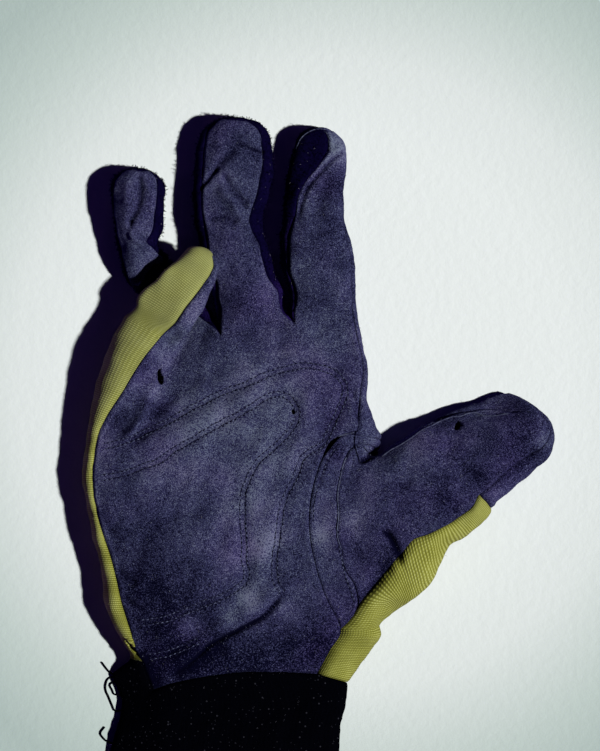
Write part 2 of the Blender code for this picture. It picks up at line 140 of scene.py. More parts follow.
# Digits, root to tip, each row one section: x, y, z of its middle, half width, half height, then the
# angles in degrees, up from the thumb-side end of the section, at which its four seams run:
# left_front, right_front, right_back, left_back
LITTLE = (
    (-23.0, 43.5, 17.2, 11.8, 6.0, 66, -40, -128, -190),
    (-17.5, 50.5, 17.6, 11.4, 5.8, 68, -40, -128, -190),
    (-12.0, 58.0, 18.0, 9.6, 5.2, 60, -40, -128, -190),
    (-8.3, 63.5, 18.2, 7.6, 4.6, 45, -40, -125, -190),
)
RING = (
    (-14.5, 44.5, 3.3, 8.0, 3.6, 165, 80, -35, -140),
    (-27.4, 59.2, 3.5, 9.2, 4.0, 200, 160, -35, -140),
    (-30.9, 65.8, 4.0, 8.7, 4.6, 150, 42, -35, -140),
    (-33.5, 76.0, 5.2, 9.0, 5.8, 153, 52, -35, -140),
    (-33.0, 85.5, 6.0, 10.2, 6.6, 156, 46, -35, -140),
    (-32.8, 92.5, 5.8, 10.3, 6.4, 152, 44, -35, -140),
)
MIDDLE = (
    (9.0, 49.5, 6.8, 12.9, 7.6, 150, 37, -35, -145),
    (5.8, 62.5, 7.0, 12.3, 7.8, 142, 45, -35, -145),
    (2.4, 74.0, 7.0, 12.4, 7.8, 136, 48, -35, -145),
    (1.4, 82.0, 6.8, 13.2, 7.6, 137, 51, -35, -145),
    (2.2, 91.0, 6.8, 14.5, 7.6, 140, 47, -35, -145),
    (3.6, 102.5, 6.8, 15.2, 7.6, 142, 45, -35, -145),
    (3.8, 109.0, 6.6, 13.6, 7.2, 145, 44, -35, -145),
)
INDEX = (
    (36.5, 51.5, 6.4, 12.7, 7.2, 139, 27, -35, -140),
    (35.3, 66.5, 6.6, 13.0, 7.4, 138, 27, -38, -145),
    (33.9, 80.0, 6.6, 11.8, 7.4, 128, 14, -50, -155),
    (33.7, 91.0, 6.6, 11.2, 7.2, 110, 6, -62, -170),
    (35.0, 100.5, 6.4, 10.6, 7.0, 88, 0, -72, -170),
    (36.0, 107.0, 6.2, 9.4, 6.6, 74, -4, -76, -172),
)
THUMB = (
    (64.5, -36.5, 8.6, 28.0, 9.6, 192, 72, -28, -150),
    (78.0, -23.0, 8.0, 22.2, 9.0, 187, 52, -28, -152),
    (89.5, -15.0, 7.6, 21.6, 8.4, 178, 53, -28, -150),
    (102.5, -5.0, 7.2, 19.0, 8.0, 144, 55, -32, -148),
    (112.5, -0.5, 6.6, 15.0, 7.2, 120, 53, -32, -148),
)
# Reach in mm of the rounded tip past the last section, and its bend sideways
TIPS = {
    "little": (5.5, 0.3),
    "ring": (6.5, 0.0),
    "middle": (9.5, 0.0),
    "index": (7.5, -1.5),
    "thumb": (12.0, -2.5),
}
TIP_HEIGHT_KEPT = 0.45  # share of the section's height left at the very tip
STRIP_SHARE = 0.44  # of the way from the palm to the thumb's first section
CAP_FROM = 3.1  # thumb section at which the cap starts

# Cuff, wrist to mouth: y, left and right edge, height
CUFF = (
    (-103.0, -36.5, 46.0, 11.0),
    (-112.0, -37.8, 44.0, 12.0),
    (-125.0, -40.0, 42.8, 12.5),
    (-139.0, -41.0, 42.5, 13.0),
)

# piece: the frame node it stands for, wall in mm, rolled edge in mm, finish, cut width and length in m
PIECES = {
    "palm_suede": ("palm_front", 1.4, 0.22, "suede", (0.135, 0.230)),
    "back_knit": ("back_panel", 1.3, 0.10, "knit", (0.150, 0.230)),
    "little_ring_side": ("gusset_little_ring", 1.1, 0.0, "gusset_cloth", (0.018, 0.133)),
    "ring_middle_side": ("gusset_ring_middle", 1.1, 0.0, "gusset_cloth", (0.018, 0.184)),
    "middle_index_side": ("gusset_middle_index", 1.1, 0.0, "gusset_cloth", (0.018, 0.183)),
    "index_suede_side": ("index_side", 1.4, 0.15, "suede", (0.016, 0.137)),
    "thumb_joining_strip": ("thumb_strip", 1.4, 0.15, "suede", (0.014, 0.096)),
    "thumb_suede": ("thumb_front", 1.4, 0.30, "suede", (0.060, 0.108)),
    "thumb_knit": ("thumb_back", 1.3, 0.10, "knit", (0.086, 0.107)),
    "thumb_tip_cap": ("thumb_cap", 1.4, 0.28, "suede", (0.060, 0.047)),
    "wrist_cuff": ("cuff", 1.8, 0.0, "cuff_knit", (0.194, 0.054)),
}

# Folds on the palm side: height (a trough is negative), width, both mm, how strong the painted shade at its
# bottom is (a negative value paints a pale highlight along a crest), then x, y along it
PALM_FOLDS = {
    "heel": (
        -2.0, 0.85, 2.6,
        ((24, -60.5), (19.3, -65.5), (14.5, -70.5), (7.5, -74.5), (0, -78.4), (-5.5, -81.4), (-9, -84.6),
         (-14.5, -88.8), (-20, -91.8)),
    ),
    "heel_shoulder": (
        1.0, 2.6, 0.0,
        ((21, -57), (13, -66), (5, -70.5), (-3, -75), (-10, -80), (-17, -85), (-25, -88.5)),
    ),
    "heel_under": (-1.1, 2.8, 0.8, ((2, -80.5), (-6, -84.5), (-13, -89.5), (-22, -93.5))),
    "little_finger_ridge": (
        1.5, 1.9, 0.0,
        ((-10, 41), (-14.5, 36.6), (-19.8, 31.6), (-23.4, 27.4), (-25, 21), (-29.2, 13.8), (-30.4, 9),
         (-32.5, 3.5), (-34.6, 0.2), (-38.6, -3.3), (-44, -6)),
    ),
    "little_finger_valley": (
        -0.9, 2.6, 0.6,
        ((-17, 15.5), (-20.5, 11.4), (-25.2, 6.6), (-29, 1), (-32.5, -3), (-37, -6.5)),
    ),
    "little_finger_crest": (
        0.5, 1.2, -1.3,
        ((-12, 39), (-18.8, 31.4), (-22.4, 27.2), (-23.7, 24), (-27, 15.5), (-29.2, 9), (-31.4, 3.3),
         (-33.6, 0.1), (-38, -3.4), (-43, -5.7)),
    ),
    "ulnar_dimple": (-0.6, 3.5, 0.3, ((-37, 9), (-39.5, 4), (-42, -1))),
    "palm_cross": (-0.7, 3.5, 0.2, ((8, -20), (-2, -27), (-12, -31), (-24, -33))),
    "palm_cross_low": (-0.6, 3.0, 0.2, ((-22, -37), (-27, -40), (-33, -39))),
    "ulnar_tuck": (-0.8, 1.2, 0.6, ((-41.5, -52), (-37, -56), (-33, -58))),
    "ulnar_tuck_low": (-0.7, 1.2, 0.6, ((-39, -62), (-35, -66), (-30, -67))),
    "web_fold": (-0.8, 2.4, 0.45, ((35, -2.5), (39.5, 3), (44, 8), (46.5, 13))),
    "web_fold_side": (-0.9, 1.2, 0.5, ((48, 16), (50, 9), (49, 3))),
    "strip_pull": (-0.5, 0.8, 0.9, ((46, -3.5), (42, -6.4), (39.4, -10.9), (36.8, -17), (35, -23))),
    "thumb_pocket": (-1.7, 1.3, 2.3, ((59.5, -37), (62, -39.8), (64, -42.8), (65.6, -46.4), (66.4, -50))),
    "thumb_pocket_low": (-1.0, 2.4, 0.7, ((64, -50), (59, -56), (54, -62), (50, -68))),
    "crotch_slit": (-1.6, 1.0, 2.4, ((50, -12), (53, -10.8), (56, -8.9), (58.6, -7), (61, -4.8))),
    "thumb_pull": (-0.8, 2.4, 0.3, ((62, -18), (72, -23), (84, -26), (92, -30))),
    "thumb_cap_under": (-0.6, 1.7, 0.5, ((100.5, -23.6), (107, -17.8), (113.5, -12.2), (120, -6))),
    "thumb_tip_fold": (-0.7, 2.0, 0.3, ((86, -12), (95, -17), (100, -24))),
    "middle_diagonal": (-1.5, 0.8, 1.9, ((-10.5, 90.4), (-8.2, 93), (-6, 95.4), (-4, 97.9), (-2, 100))),
    "middle_diagonal_soft": (-1.2, 1.9, 0.7, ((-6, 96), (-2, 100.5), (1.5, 104), (5, 107.6))),
    "middle_diagonal_upper": (
        -1.0, 0.8, 1.1,
        ((2.5, 108), (4.9, 108.3), (8, 107.7), (11.8, 106), (16, 104.5)),
    ),
    "middle_twist": (
        -1.5, 1.2, 0.8,
        ((-0.8, 98), (0.4, 95.4), (1.9, 91.6), (4.2, 89.3), (6.7, 86.8), (9.5, 84)),
    ),
    "middle_twist_side": (
        1.5, 2.0, -0.4,
        ((-3, 92.5), (0, 89.5), (2.7, 86.8), (5.7, 81), (9.1, 77.5), (12.5, 75)),
    ),
    "middle_low": (-0.9, 1.8, 0.5, ((-7, 80.5), (-3, 80.4), (1, 80), (5, 77.5))),
    "middle_root": (-0.6, 3.0, 0.2, ((-1, 62), (6, 58), (13, 58))),
    "ring_s": (
        -1.7, 1.2, 0.6,
        ((-33, 98.5), (-32, 93), (-31.8, 88), (-33.5, 82.5), (-36, 78.5), (-36.6, 75), (-35, 71)),
    ),
    "ring_left_pad": (0.9, 1.8, 0.0, ((-36.5, 95), (-37, 89), (-37.5, 83))),
    "ring_right_pad": (0.9, 1.6, 0.0, ((-28, 94), (-27.5, 88), (-29, 83))),
    "ring_low": (
        1.3, 1.0, -1.2,
        ((-37.4, 80), (-36.9, 77), (-36, 74.1), (-32.3, 70.9), (-27.9, 68.3), (-24.7, 66.4)),
    ),
    "ring_low_valley": (-1.0, 1.3, 0.5, ((-34.5, 76), (-32.5, 73.8), (-29, 71.8), (-26, 70.5))),
    "index_strip": (
        -1.3, 0.9, 1.2,
        ((49, 108.5), (46, 106.2), (39.9, 101.5), (36.1, 97.7), (32.3, 93.5), (30, 89.3), (28.3, 83.6),
         (27.5, 77)),
    ),
    "index_strip_lip": (
        1.3, 1.5, -0.4,
        ((46.5, 109.5), (40.5, 104.5), (35, 100), (30.6, 95), (28, 90), (26.6, 84)),
    ),
    "index_under_strip": (-0.6, 3.0, 0.3, ((46, 99), (41, 94), (37, 88), (34, 80))),
    "index_cross": (-0.6, 3.0, 0.2, ((31, 68), (38, 65), (46, 66))),
    "index_root": (-0.6, 3.0, 0.2, ((30, 50), (38, 46), (48, 47))),
    "roots_soft": (-0.8, 4.0, 0.2, ((2, 36), (12, 31), (24, 33), (36, 31))),
}
# The same on the hidden back, where knuckles and the hand's back leave theirs
BACK_FOLDS = {
    "knuckle_middle": (-1.3, 1.6, 0.5, ((-3, 68), (4, 66), (11, 68))),
    "knuckle_middle_tip": (-1.0, 1.4, 0.5, ((-6, 88), (2, 86), (10, 89))),
    "knuckle_index": (-1.2, 1.6, 0.5, ((26, 70), (34, 67), (42, 70))),
    "knuckle_index_tip": (-1.0, 1.3, 0.5, ((26, 90), (33, 88), (40, 90))),
    "knuckle_ring": (-1.0, 1.4, 0.5, ((-38, 78), (-32, 76), (-27, 79))),
    "back_cross": (-1.5, 3.2, 0.3, ((-38, 6), (-20, 0), (0, 4), (22, -2), (40, 2))),
    "back_cross_low": (-1.3, 2.6, 0.3, ((-36, -36), (-16, -42), (6, -37), (28, -44))),
    "back_diagonal": (-1.4, 2.2, 0.4, ((-34, -80), (-18, -70), (-2, -64), (14, -60))),
    "back_wrist": (-1.2, 2.0, 0.4, ((-24, -88), (0, -85), (26, -89))),
    "back_thumb": (-1.5, 2.2, 0.4, ((52, -58), (62, -46), (72, -38), (84, -30))),
    "back_thumb_base": (-1.2, 1.8, 0.4, ((50, -30), (58, -34), (66, -42))),
    "back_long": (-1.0, 2.4, 0.3, ((10, 34), (8, 14), (12, -10), (8, -30))),
}
# Rows of stitches through palm and padding: two rows run side by side along each
PADDING_STITCHES = {
    "outer": (
        (-46.5, -6.5), (-35.5, -3.4), (-28, 0), (-20.5, 3.5), (-13, 8), (-6, 11.5), (0, 14.5), (7.5, 17),
        (15, 20.5), (23, 23), (30.5, 24.5), (36.5, 23.5), (41, 22), (45, 18), (45.5, 13.5), (44, 9),
        (42, 4.5), (38, -4), (34, -7), (29.5, -10.5), (27.5, -16), (24.5, -22), (22, -28), (21, -34),
        (20, -42), (19, -49.5), (19.5, -57), (22.5, -61.5),
    ),
    "inner": (
        (-48, -18), (-43, -17.5), (-36.5, -16), (-30, -13.5), (-24.5, -11.5), (-19, -7.5), (-13.5, -4.5),
        (-8.5, -1.5), (-1.5, 2.5), (4.5, 5.5), (10.5, 9), (15, 12), (19, 13.5), (23, 13), (26, 10.5),
        (27.5, 7), (27, 3), (23, -2.5), (17.5, -7.5), (13, -11.5), (10, -16.5), (7.5, -23), (7, -28),
        (7, -34), (7.5, -42), (7.5, -49.5), (8.5, -54), (7, -58), (0, -62.5), (-7.5, -65.5),
        (-15, -68.5), (-23, -71.5), (-32.5, -73),
    ),
    "heel": ((-30, -86), (-22, -84.5), (-14, -81.5), (-9, -79)),
}
# Single rows beside the joining strip's seams
SEAM_STITCHES = {
    "strip_outer": (
        (45, -3.5), (40.7, -8.1), (39.1, -10.8), (36.8, -17), (35, -22.5), (33.8, -28.5), (33.5, -35),
    ),
    "strip_inner": ((42.7, -34), (42.9, -40), (43.6, -46), (45.2, -53), (47.4, -60), (49.4, -65.5)),
}
# Wear and painted light on what faces up, less on steep sides: x, y, radius in mm, then how much paler
# (dust and scuffs; the rows marked below paint light) or darker (dark patches; the row marked below paints
# shade)
WEAR_AND_PAINTED_LIGHT = (
    (14.5, -42.5, 5.5, 1.5),
    (12.5, -52, 6, 0.6),
    (19.5, -39.5, 5, 0.8),
    (8.5, -64, 5, 1.5),
    (2, -71.5, 4.5, 1.2),
    (7, -72, 4, -0.5),
    (-5, -67.5, 3.5, -0.5),
    (-13.5, -74.5, 5, 1.3),
    (36.5, -39.5, 4, 1.4),
    (48.5, -34, 5, 1.1),
    (-13, 1.5, 9, 0.9),
    (0, 5, 8, 0.75),
    (-19, -16, 12, 0.45),
    (-2, -10, 12, 0.3),
    (9, -25, 8, 0.5),
    (19, 7.5, 9, 0.45),
    (14, -4, 9, 0.35),
    (32.5, -6, 7, 0.5),
    (38, 9, 6, -0.3),
    (16, -32, 9, 0.15),
    (24, -14, 8, 0.15),
    (-5, -57, 8, 0.2),
    (-2, -48, 10, 0.15),
    (30.5, -64.5, 10, 0.15),
    (45, -5.5, 5, 0.15),
    (50, 0, 6, 0.2),
    (40.5, -7, 5, -0.6),
    (44, 1, 5, -0.4),
    (1.5, 110, 8, -0.25),
    (4, 72, 7, -0.35),
    (38, 65, 14, -0.05),
    (90, -5, 12, -0.25),
    (66, -31, 14, -0.15),
    (64, -50, 4, -0.8),
    (-2, 108, 5, -0.3),
    (9, 96, 5, 0.2),
    (12.5, 103, 4, -0.6),
    (-4, 92, 5, 0.2),
    (41.5, 107.5, 6.5, 1.8),
    (34, 100, 5, 1.1),
    (29, 87, 6, 0.5),
    (-10.5, 44, 6, 0.7),
    (-18, 35, 5, 0.5),
    (-24, 28, 5, 0.3),
    (-27, 14.5, 3.5, 0.6),
    (-36, 92, 5, 0.3),
    (-30, 84, 7, -0.2),
    (-33, 72, 5, 0.3),
    (104, 2, 8, 0.2),
    (67.5, -13, 12, 0.25),
    (56, -16, 8, 0.25),
    (-27.5, -39.5, 9, -0.5),
    (-40, -30, 9, -0.3),
    (-17.5, -56, 12, -0.7),
    (-33, -60, 10, -0.8),
    (-20, -72, 9, -0.6),
    (-38, -42, 8, -0.3),
    (0, -30, 6, 0.6),
    (7.6, -19, 5, 0.5),
    (-23.5, 7, 4.5, -0.6),
    (-31, 10, 4, -0.6),
    (-15, 15, 6, 0.5),
    (6, 13, 6, 0.5),
    (49, 12, 5, 0.6),
    (41.8, -9, 3, -0.7),
    (46.5, -42, 5, -0.5),
    (85, -30, 6, -0.5),
    (107, -9, 7, -0.4),
    (-38, 4, 6, -0.15),
    (-32, 24, 5, -0.4),
    # Painted shade: the next row darkens the palm's lower corner at the wrist, where it turns into shadow
    (-30, -91.5, 7, -2.2),
    (-16.5, -89.5, 7, -1.1),
    (-27, -77, 11, -0.9),
    (-12, -80, 12, -1.0),
    (-8, -60, 9, -0.35),
    (24.7, -57, 5, -0.6),
    (26, -67, 6, 0.1),
    (36, -82, 5, -0.6),
    (38, -80, 12, -0.4),
    (22, -87, 13, -1.2),
    (11, -86, 4, -0.4),
    (0, -89, 11, -1.4),
    (12, 23, 10, 0.7),
    (26, 29, 10, 0.4),
    (26, 13, 7, 0.45),
    (-4, 9, 6, 0.4),
    (17, -12, 8, 0.4),
    (8, -29, 5, 0.4),
    (52, -41, 5, 0.4),
    (10, 48, 7, -0.4),
    (0, 38, 7, -0.4),
    (40.5, 92, 7, -0.5),
    (40.5, 80, 10, -0.25),
    (44, 70, 8, -0.2),
    (62.5, -42, 7, -0.25),
    (58, -52, 8, -0.4),
    (85.5, -20.5, 10, -0.3),
    (114, 3, 9, -0.7),
    (112, -10, 8, -0.4),
    (119.5, -4.2, 3, 0.8),
    (86, -8, 4.5, -0.4),
    (95, -17, 5, -0.2),
    (84, -23, 6, -0.4),
    (64, -22, 6, -0.35),
    (93, 3, 5, 0.25),
    (70, -8, 8, 0.25),
    (96, -14, 9, -0.2),
    (72, -30, 9, -0.15),
    (-11.5, 62.5, 9, 0.5),
    (-19, 55, 9, 0.4),
    (-28.5, 45.5, 8, 0.1),
    (-36, 33, 8, -0.4),
    # Painted light: the next nine rows lighten the knit along the little finger's side, a wall facing away
    # from the key light
    (-43, 25, 5, 1.3),
    (-46.5, 12, 4, 1.6),
    (-50, 0, 4, 1.6),
    (-52, -12, 4, 1.6),
    (-51, -26, 4, 1.6),
    (-49, -41, 4, 2.0),
    (-46.5, -55, 4, 2.2),
    (-44.5, -66, 4, 2.2),
    (-41, -78, 4, 1.8),
    (52, -84, 14, -0.8),
    (68, -62, 10, -0.4),
)
# Worn through places: x, y, half length, half width in mm, turn in degrees, on the palm side
HOLES = (
    (-24.2, 20.2, 3.0, 1.3, 98),
    (26.0, 7.0, 1.2, 0.7, 100),
    (88.0, 1.6, 2.0, 1.1, 80),
    (-35.2, -82.4, 5.0, 0.6, -52),
)
# Seams pulled open: x, y, radius, extra gap in mm
OPEN_SEAMS = (
    (40.0, -5.0, 4.5, 0.7),
    (49.8, -66.5, 2.0, 0.4),
)
# Seams that lie tightly closed: x, y, radius, how much of their groove is gone
TIGHT_SEAMS = (
    (44.2, -16.0, 5.0, 0.80),
    (43.0, -25.0, 6.0, 0.85),
    (42.7, -35.0, 7.0, 0.85),
    (43.8, -46.0, 6.0, 0.85),
    (46.8, -57.0, 7.0, 0.85),
    (32.0, -34.0, 5.0, 0.35),
    (33.0, -45.0, 7.0, 0.40),
    (36.5, -56.0, 7.0, 0.40),
    (41.0, -68.0, 7.0, 0.50),
    (53.5, -2.5, 5.0, 0.90),
)
# Deep shade at the thumb's crotch and at the palm's wrist corner: x, y, radius in mm, how dark
DEEP_SHADE = (
    (51.8, -11.5, 0.8, 1.8),
    (53.4, -10.7, 1.0, 2.2),
    (55.2, -9.6, 1.2, 2.4),
    (57.0, -8.2, 1.4, 2.4),
    (58.6, -6.9, 1.5, 2.4),
    (59.8, -5.6, 1.3, 2.4),
    (-32.3, -88.5, 3.5, 2.4),
    (-29.8, -94.5, 3.8, 2.4),
    (-27.5, -99.0, 3.8, 2.4),
)
# Painted violet fill light on the gussets in the shaded crotches between the fingers: x, y, radius in mm, how
# strong
CROTCH_PAINTED_FILL = (
    (-3.4, 49.4, 5.5, 1.0),
    (-5.5, 55.5, 4.0, 0.7),
    (24.5, 43.0, 3.0, 1.0),
    (24.0, 49.0, 3.0, 1.0),
    (23.0, 55.0, 3.0, 1.0),
    (22.6, 61.0, 3.0, 1.0),
    (22.4, 67.0, 3.0, 1.0),
    (22.3, 73.0, 3.0, 0.8),
    (22.2, 79.0, 3.0, 0.5),
)
# Small pushes of the skin: x, y, radius, then the move in x, y and z, mm
NUDGES = (
    (119.5, 10.5, 7.0, -1.5, -2.6, 0.0),
    (121.5, -9.0, 6.5, -0.5, 0.2, 0.0),
    (116.0, -15.5, 6.5, -0.4, 0.6, 0.0),
    (110.0, -22.0, 6.5, -0.7, 0.9, 0.0),
    (98.8, -25.3, 3.6, -2.0, 0.4, 0.0),
    (86.0, 10.0, 6.0, 0.2, -0.5, 0.0),
    (87.5, 5.5, 4.0, 0.0, 1.6, 0.0),
    (88.0, 12.0, 7.0, 0.0, -1.3, 0.0),
    (96.0, 14.0, 4.5, 0.0, -1.1, 0.0),
    (104.5, 14.5, 6.0, 0.0, 1.8, 0.0),
    (108.0, 14.1, 4.0, 0.0, 0.7, 0.0),
    (111.5, 13.0, 4.5, 0.0, -1.1, 0.0),
    (104.0, -30.5, 6.0, -1.9, 1.6, 0.0),
    (85.5, -45.5, 5.0, -2.3, 2.0, 0.0),
    (81.5, -51.5, 4.0, -0.8, 0.2, 0.0),
    (72.0, -42.5, 4.0, -0.6, 1.2, 0.0),
    (67.5, -66.5, 4.0, -0.4, 0.6, 0.0),
    (63.0, -69.5, 4.5, -1.7, 2.3, 0.0),
    (61.0, -74.5, 3.5, -1.3, 1.2, 0.0),
    (54.0, 13.0, 8.0, -2.2, -0.3, 0.0),
    (43.5, -113.0, 6.0, -1.1, 0.0, 0.0),
    (48.0, 1.5, 3.5, 2.4, -2.0, 0.0),
    (57.5, -3.0, 3.0, 1.4, 0.5, 0.0),
    (44.5, -25.0, 6.0, -0.8, 0.0, 0.0),
    (46.5, -40.0, 7.0, -2.9, 0.0, 0.0),
    (50.0, -51.5, 7.0, -3.8, -0.6, 0.0),
    (54.0, -63.0, 6.0, -2.6, -2.6, 0.0),
    (-4.0, 64.0, 5.0, -1.3, 0.0, 0.0),
    (-1.5, 50.5, 3.5, -1.0, 0.0, 0.0),
    (-12.0, 40.0, 5.0, -0.8, 0.0, 0.0),
    (-24.7, 70.3, 5.5, 0.0, -5.4, 0.0),
    (-26.0, 70.0, 3.5, -2.2, 0.0, 0.0),
    (-24.4, 65.5, 3.0, 1.9, 0.0, 0.0),
    (-34.5, 62.5, 5.0, 0.4, -2.8, 0.0),
    (-36.0, 57.5, 5.0, 1.0, -2.0, 0.0),
    (-24.7, 77.1, 4.0, 1.6, 0.0, 0.0),
    (9.5, 77.5, 3.5, -1.4, 0.0, 0.0),
    (12.5, 70.0, 3.5, 0.9, 0.0, 0.0),
    (19.0, 53.0, 4.0, 2.0, 0.0, 0.0),
    (24.0, 44.5, 3.5, -1.6, 0.4, 0.0),
    (26.2, 72.0, 6.0, -1.2, 0.0, 0.0),
    (26.2, 60.0, 6.0, -1.2, 0.0, 0.0),
    (-50.5, -40.0, 6.0, 0.2, 0.0, 1.2),
    (-49.0, -50.0, 6.0, 0.6, 0.0, 1.5),
    (-47.0, -60.0, 6.0, 0.8, 0.0, 1.5),
    (-44.5, -70.0, 6.0, 0.8, 0.0, 1.5),
    (-42.0, -79.0, 5.0, 0.8, 0.0, 1.2),
    (-38.5, -94.0, 5.0, -3.6, 0.0, 0.0),
    (-39.5, -102.0, 5.0, -3.2, 0.0, 0.0),
    (-41.5, -111.0, 7.0, -3.0, 0.0, 0.0),
    (-43.0, -124.0, 8.0, -3.6, 0.0, 0.0),
    (-44.0, -137.0, 8.0, -3.8, 0.0, 0.0),
)
# Where the empty cloth has sunk: x, y, radius, then the share of its height it has lost or, under 0, gained
SUNKEN = (
    (-28.0, 46.0, 20.0, 0.20),
    (84.0, 6.0, 12.0, 0.22),
    (98.0, 12.0, 9.0, 0.42),
    (90.0, 12.0, 6.0, 0.25),
    (106.0, 13.0, 8.0, 0.34),
    (-33.0, 66.0, 9.0, -0.45),
    (-42.0, -48.0, 11.0, 0.06),
    (-39.0, -68.0, 9.0, 0.04),
    (-42.0, -97.0, 8.0, 0.54),
    (-43.0, -108.0, 10.0, 0.52),
    (-44.0, -125.0, 14.0, 0.68),
    (2.0, 88.0, 20.0, 0.14),
    (33.0, 100.0, 16.0, 0.14),
    (-34.0, 84.0, 15.0, -0.24),
)
# Loose black threads at the cuff: x, y, z along each, mm
THREADS = {
    "thread_top": (
        (-46.8, -88.2, 0.4), (-46.2, -89.1, 0.4), (-43.8, -92, 0.4), (-41, -93.5, 0.4), (-36, -97, 2),
    ),
    "thread_loop": (
        (-36, -93, 2), (-43.5, -94, 0.4), (-45.2, -96.2, 0.4), (-45.3, -98.8, 0.4), (-44.2, -101.4, 0.4),
        (-42.8, -104.8, 0.4), (-42, -106.5, 0.4), (-40.6, -106.7, 0.4), (-36, -106, 2),
    ),
    "thread_curl": (
        (-38, -94.5, 1), (-43.5, -96.4, 0.4), (-42.8, -98.8, 0.4), (-41.8, -100.5, 0.4), (-37, -101, 2),
    ),
    "thread_hook": (
        (-45.7, -112.8, 0.4), (-47.3, -115, 0.4), (-46.6, -116.6, 0.4), (-44.2, -118.6, 0.4), (-37, -121, 2),
    ),
}
# The side piece's bound edge round the index fingertip: x, y, z, mm
INDEX_PIPING = (
    (38.5, 114.6, 9.5), (35, 114.2, 9.5), (31.5, 112.6, 9.5), (29, 110, 9), (27.2, 106.5, 8.5),
)
# Fine pale cords in the seams of the suede, and thin near-black cords of painted shadow in and beside them:
# finish, radius in mm, whether it keeps to the nearest cut edge, then x, y along each
SEAM_CORDS = {
    "crotch_seam_shadow": (
        "seam_shadow", 0.28, False,
        ((49.6, 0), (49.2, -2.5), (49.6, -6.5), (50.4, -10), (50.9, -12)),
    ),
    "strip_inner_cord": (
        "piping", 0.27, True,
        ((46.4, -10.6), (44.8, -12.5), (44.2, -15.4), (44, -18.7), (43.1, -23), (42.7, -28.2), (42.6, -36.4),
         (43.3, -44.5)),
    ),
    "strip_inner_shade": (
        "seam_shadow", 0.18, False,
        ((45.9, -11.6), (44.2, -13.2), (43.5, -15.6), (43.3, -18.7), (42.5, -23)),
    ),
    "strip_top_cord": ("piping", 0.18, True, ((49, -1.6), (46.5, -1.9), (44.2, -1.9), (42.6, -2.8))),
    "thumb_top_cord": (
        "piping", 0.27, True,
        ((58.8, -7.9), (64.4, -5.1), (69, -2.4), (73.6, 0.9), (78.3, 4.1), (82.8, 6.2), (87.6, 7.6),
         (92.2, 8.6), (95.9, 8.6), (101.5, 7.8), (107, 6.5)),
    ),
}
# Fibres standing on the cloth: which cloths, how many, length and radius in mm, seed, finish, slot
FIBRES = {
    "gusset_fuzz": ("sides", 4200, 0.40, 0.12, 11, "gusset_fibre", "gusset_cloth"),
    "suede_nap": ("suedes", 3000, 0.22, 0.06, 12, "nap_fibre", "suede"),
    "knit_fuzz": ("knits", 1500, 0.30, 0.04, 13, "knit_fibre", "knit"),
}
# Curled threads of lint lying on it, with the same columns
LINT = {
    "gusset_lint": ("sides", 130, 0.6, 0.06, 14, "pale_lint", "gusset_cloth"),
    "cuff_lint": ("cuff", 200, 0.7, 0.06, 15, "dim_lint", "cuff_knit"),
    "suede_lint": ("suedes", 60, 1.0, 0.045, 16, "pale_lint", "suede"),
}
# Spun threads, fibres and lint, and the dark finishes of painted shade in seams and needle holes: the darker
# and the paler colour, then the noise's size in mm
THREAD_FINISHES = {
    "thread": ((0.016, 0.017, 0.046), (0.105, 0.118, 0.195), 3),
    "piping": ((0.024, 0.026, 0.062), (0.095, 0.105, 0.165), 0.9),
    # Near-black, for cords of painted shadow in a seam
    "seam_shadow": ((0.0008, 0.0008, 0.005), (0.002, 0.002, 0.010), 0.5),
    # Dark ovals of painted shade inside the needle holes
    "needle_hole": ((0.003, 0.003, 0.011), (0.014, 0.014, 0.038), 2),
    "black_thread": ((0.0015, 0.002, 0.003), (0.004, 0.005, 0.008), 0.5),
    "gusset_fibre": ((0.0008, 0.0005, 0.006), (0.003, 0.002, 0.014), 0.5),
    "pale_lint": ((0.10, 0.10, 0.13), (0.34, 0.34, 0.38), 0.5),
    "dim_lint": ((0.010, 0.010, 0.014), (0.085, 0.085, 0.105), 0.5),
    "nap_fibre": ((0.05, 0.055, 0.10), (0.16, 0.17, 0.24), 0.5),
    "knit_fibre": ((0.20, 0.20, 0.06), (0.40, 0.41, 0.20), 0.5),
}
# The suns: azimuth anticlockwise from +X and elevation in degrees, strength, colour, softness in degrees
LIGHTS = {
    "key": (-10.5, 46, 4.30, (1.0, 1.0, 0.99), 3),
    "fill_left": (170, 3, 0.24, (0.44, 0.24, 1.0), 4),
    "fill_top": (80, 3, 0.16, (0.40, 0.22, 1.0), 4),
    "fill_front": (-95, 3, 0.16, (0.40, 0.22, 1.0), 4),
}
SKY_LIGHT, SKY_SEEN = (0.0014, 0.0003, 0.0125), (0.50, 0.58, 0.555)


def along(table, positions):
    """Rows of a table read at fractional row numbers, on a smooth curve through them."""
    rows = np.asarray(table, float)
    rows = np.concatenate([[2 * rows[0] - rows[1]], rows, [2 * rows[-1] - rows[-2]]])
    positions = np.clip(np.asarray(positions, float), 0, len(rows) - 3)
    start = np.minimum(positions.astype(int), len(rows) - 4)
    t = (positions - start).reshape((-1,) + (1,) * (rows.ndim - 1))
    a, b, c, d = rows[start], rows[start + 1], rows[start + 2], rows[start + 3]
    return 0.5 * (2 * b + (c - a) * t + (2 * a - 5 * b + 4 * c - d) * t**2 + (3 * b - a - 3 * c + d) * t**3)


def patch(left, right, low, high):
    """A grid of plan points that fills four edge curves: rows run left's way, columns low's way."""
    v = np.linspace(0, 1, len(left))[:, None, None]
    u = np.linspace(0, 1, len(low))[None, :, None]
    sides = (1 - u) * left[:, None] + u * right[:, None]
    ends = (1 - v) * low[None] + v * high[None]
    corners = (1 - v) * ((1 - u) * low[0] + u * low[-1]) + v * ((1 - u) * high[0] + u * high[-1])
    return sides + ends - corners


def heights(table, left_z, right_z, rows, columns):
    """Heights over a palm grid, from the two edges' own heights and the table's three between them."""
    inner = along(table, np.linspace(0, len(table) - 1, rows))
    across = np.column_stack([left_z, inner, right_z])
    return along(across.T, np.linspace(0, 4, columns)).T


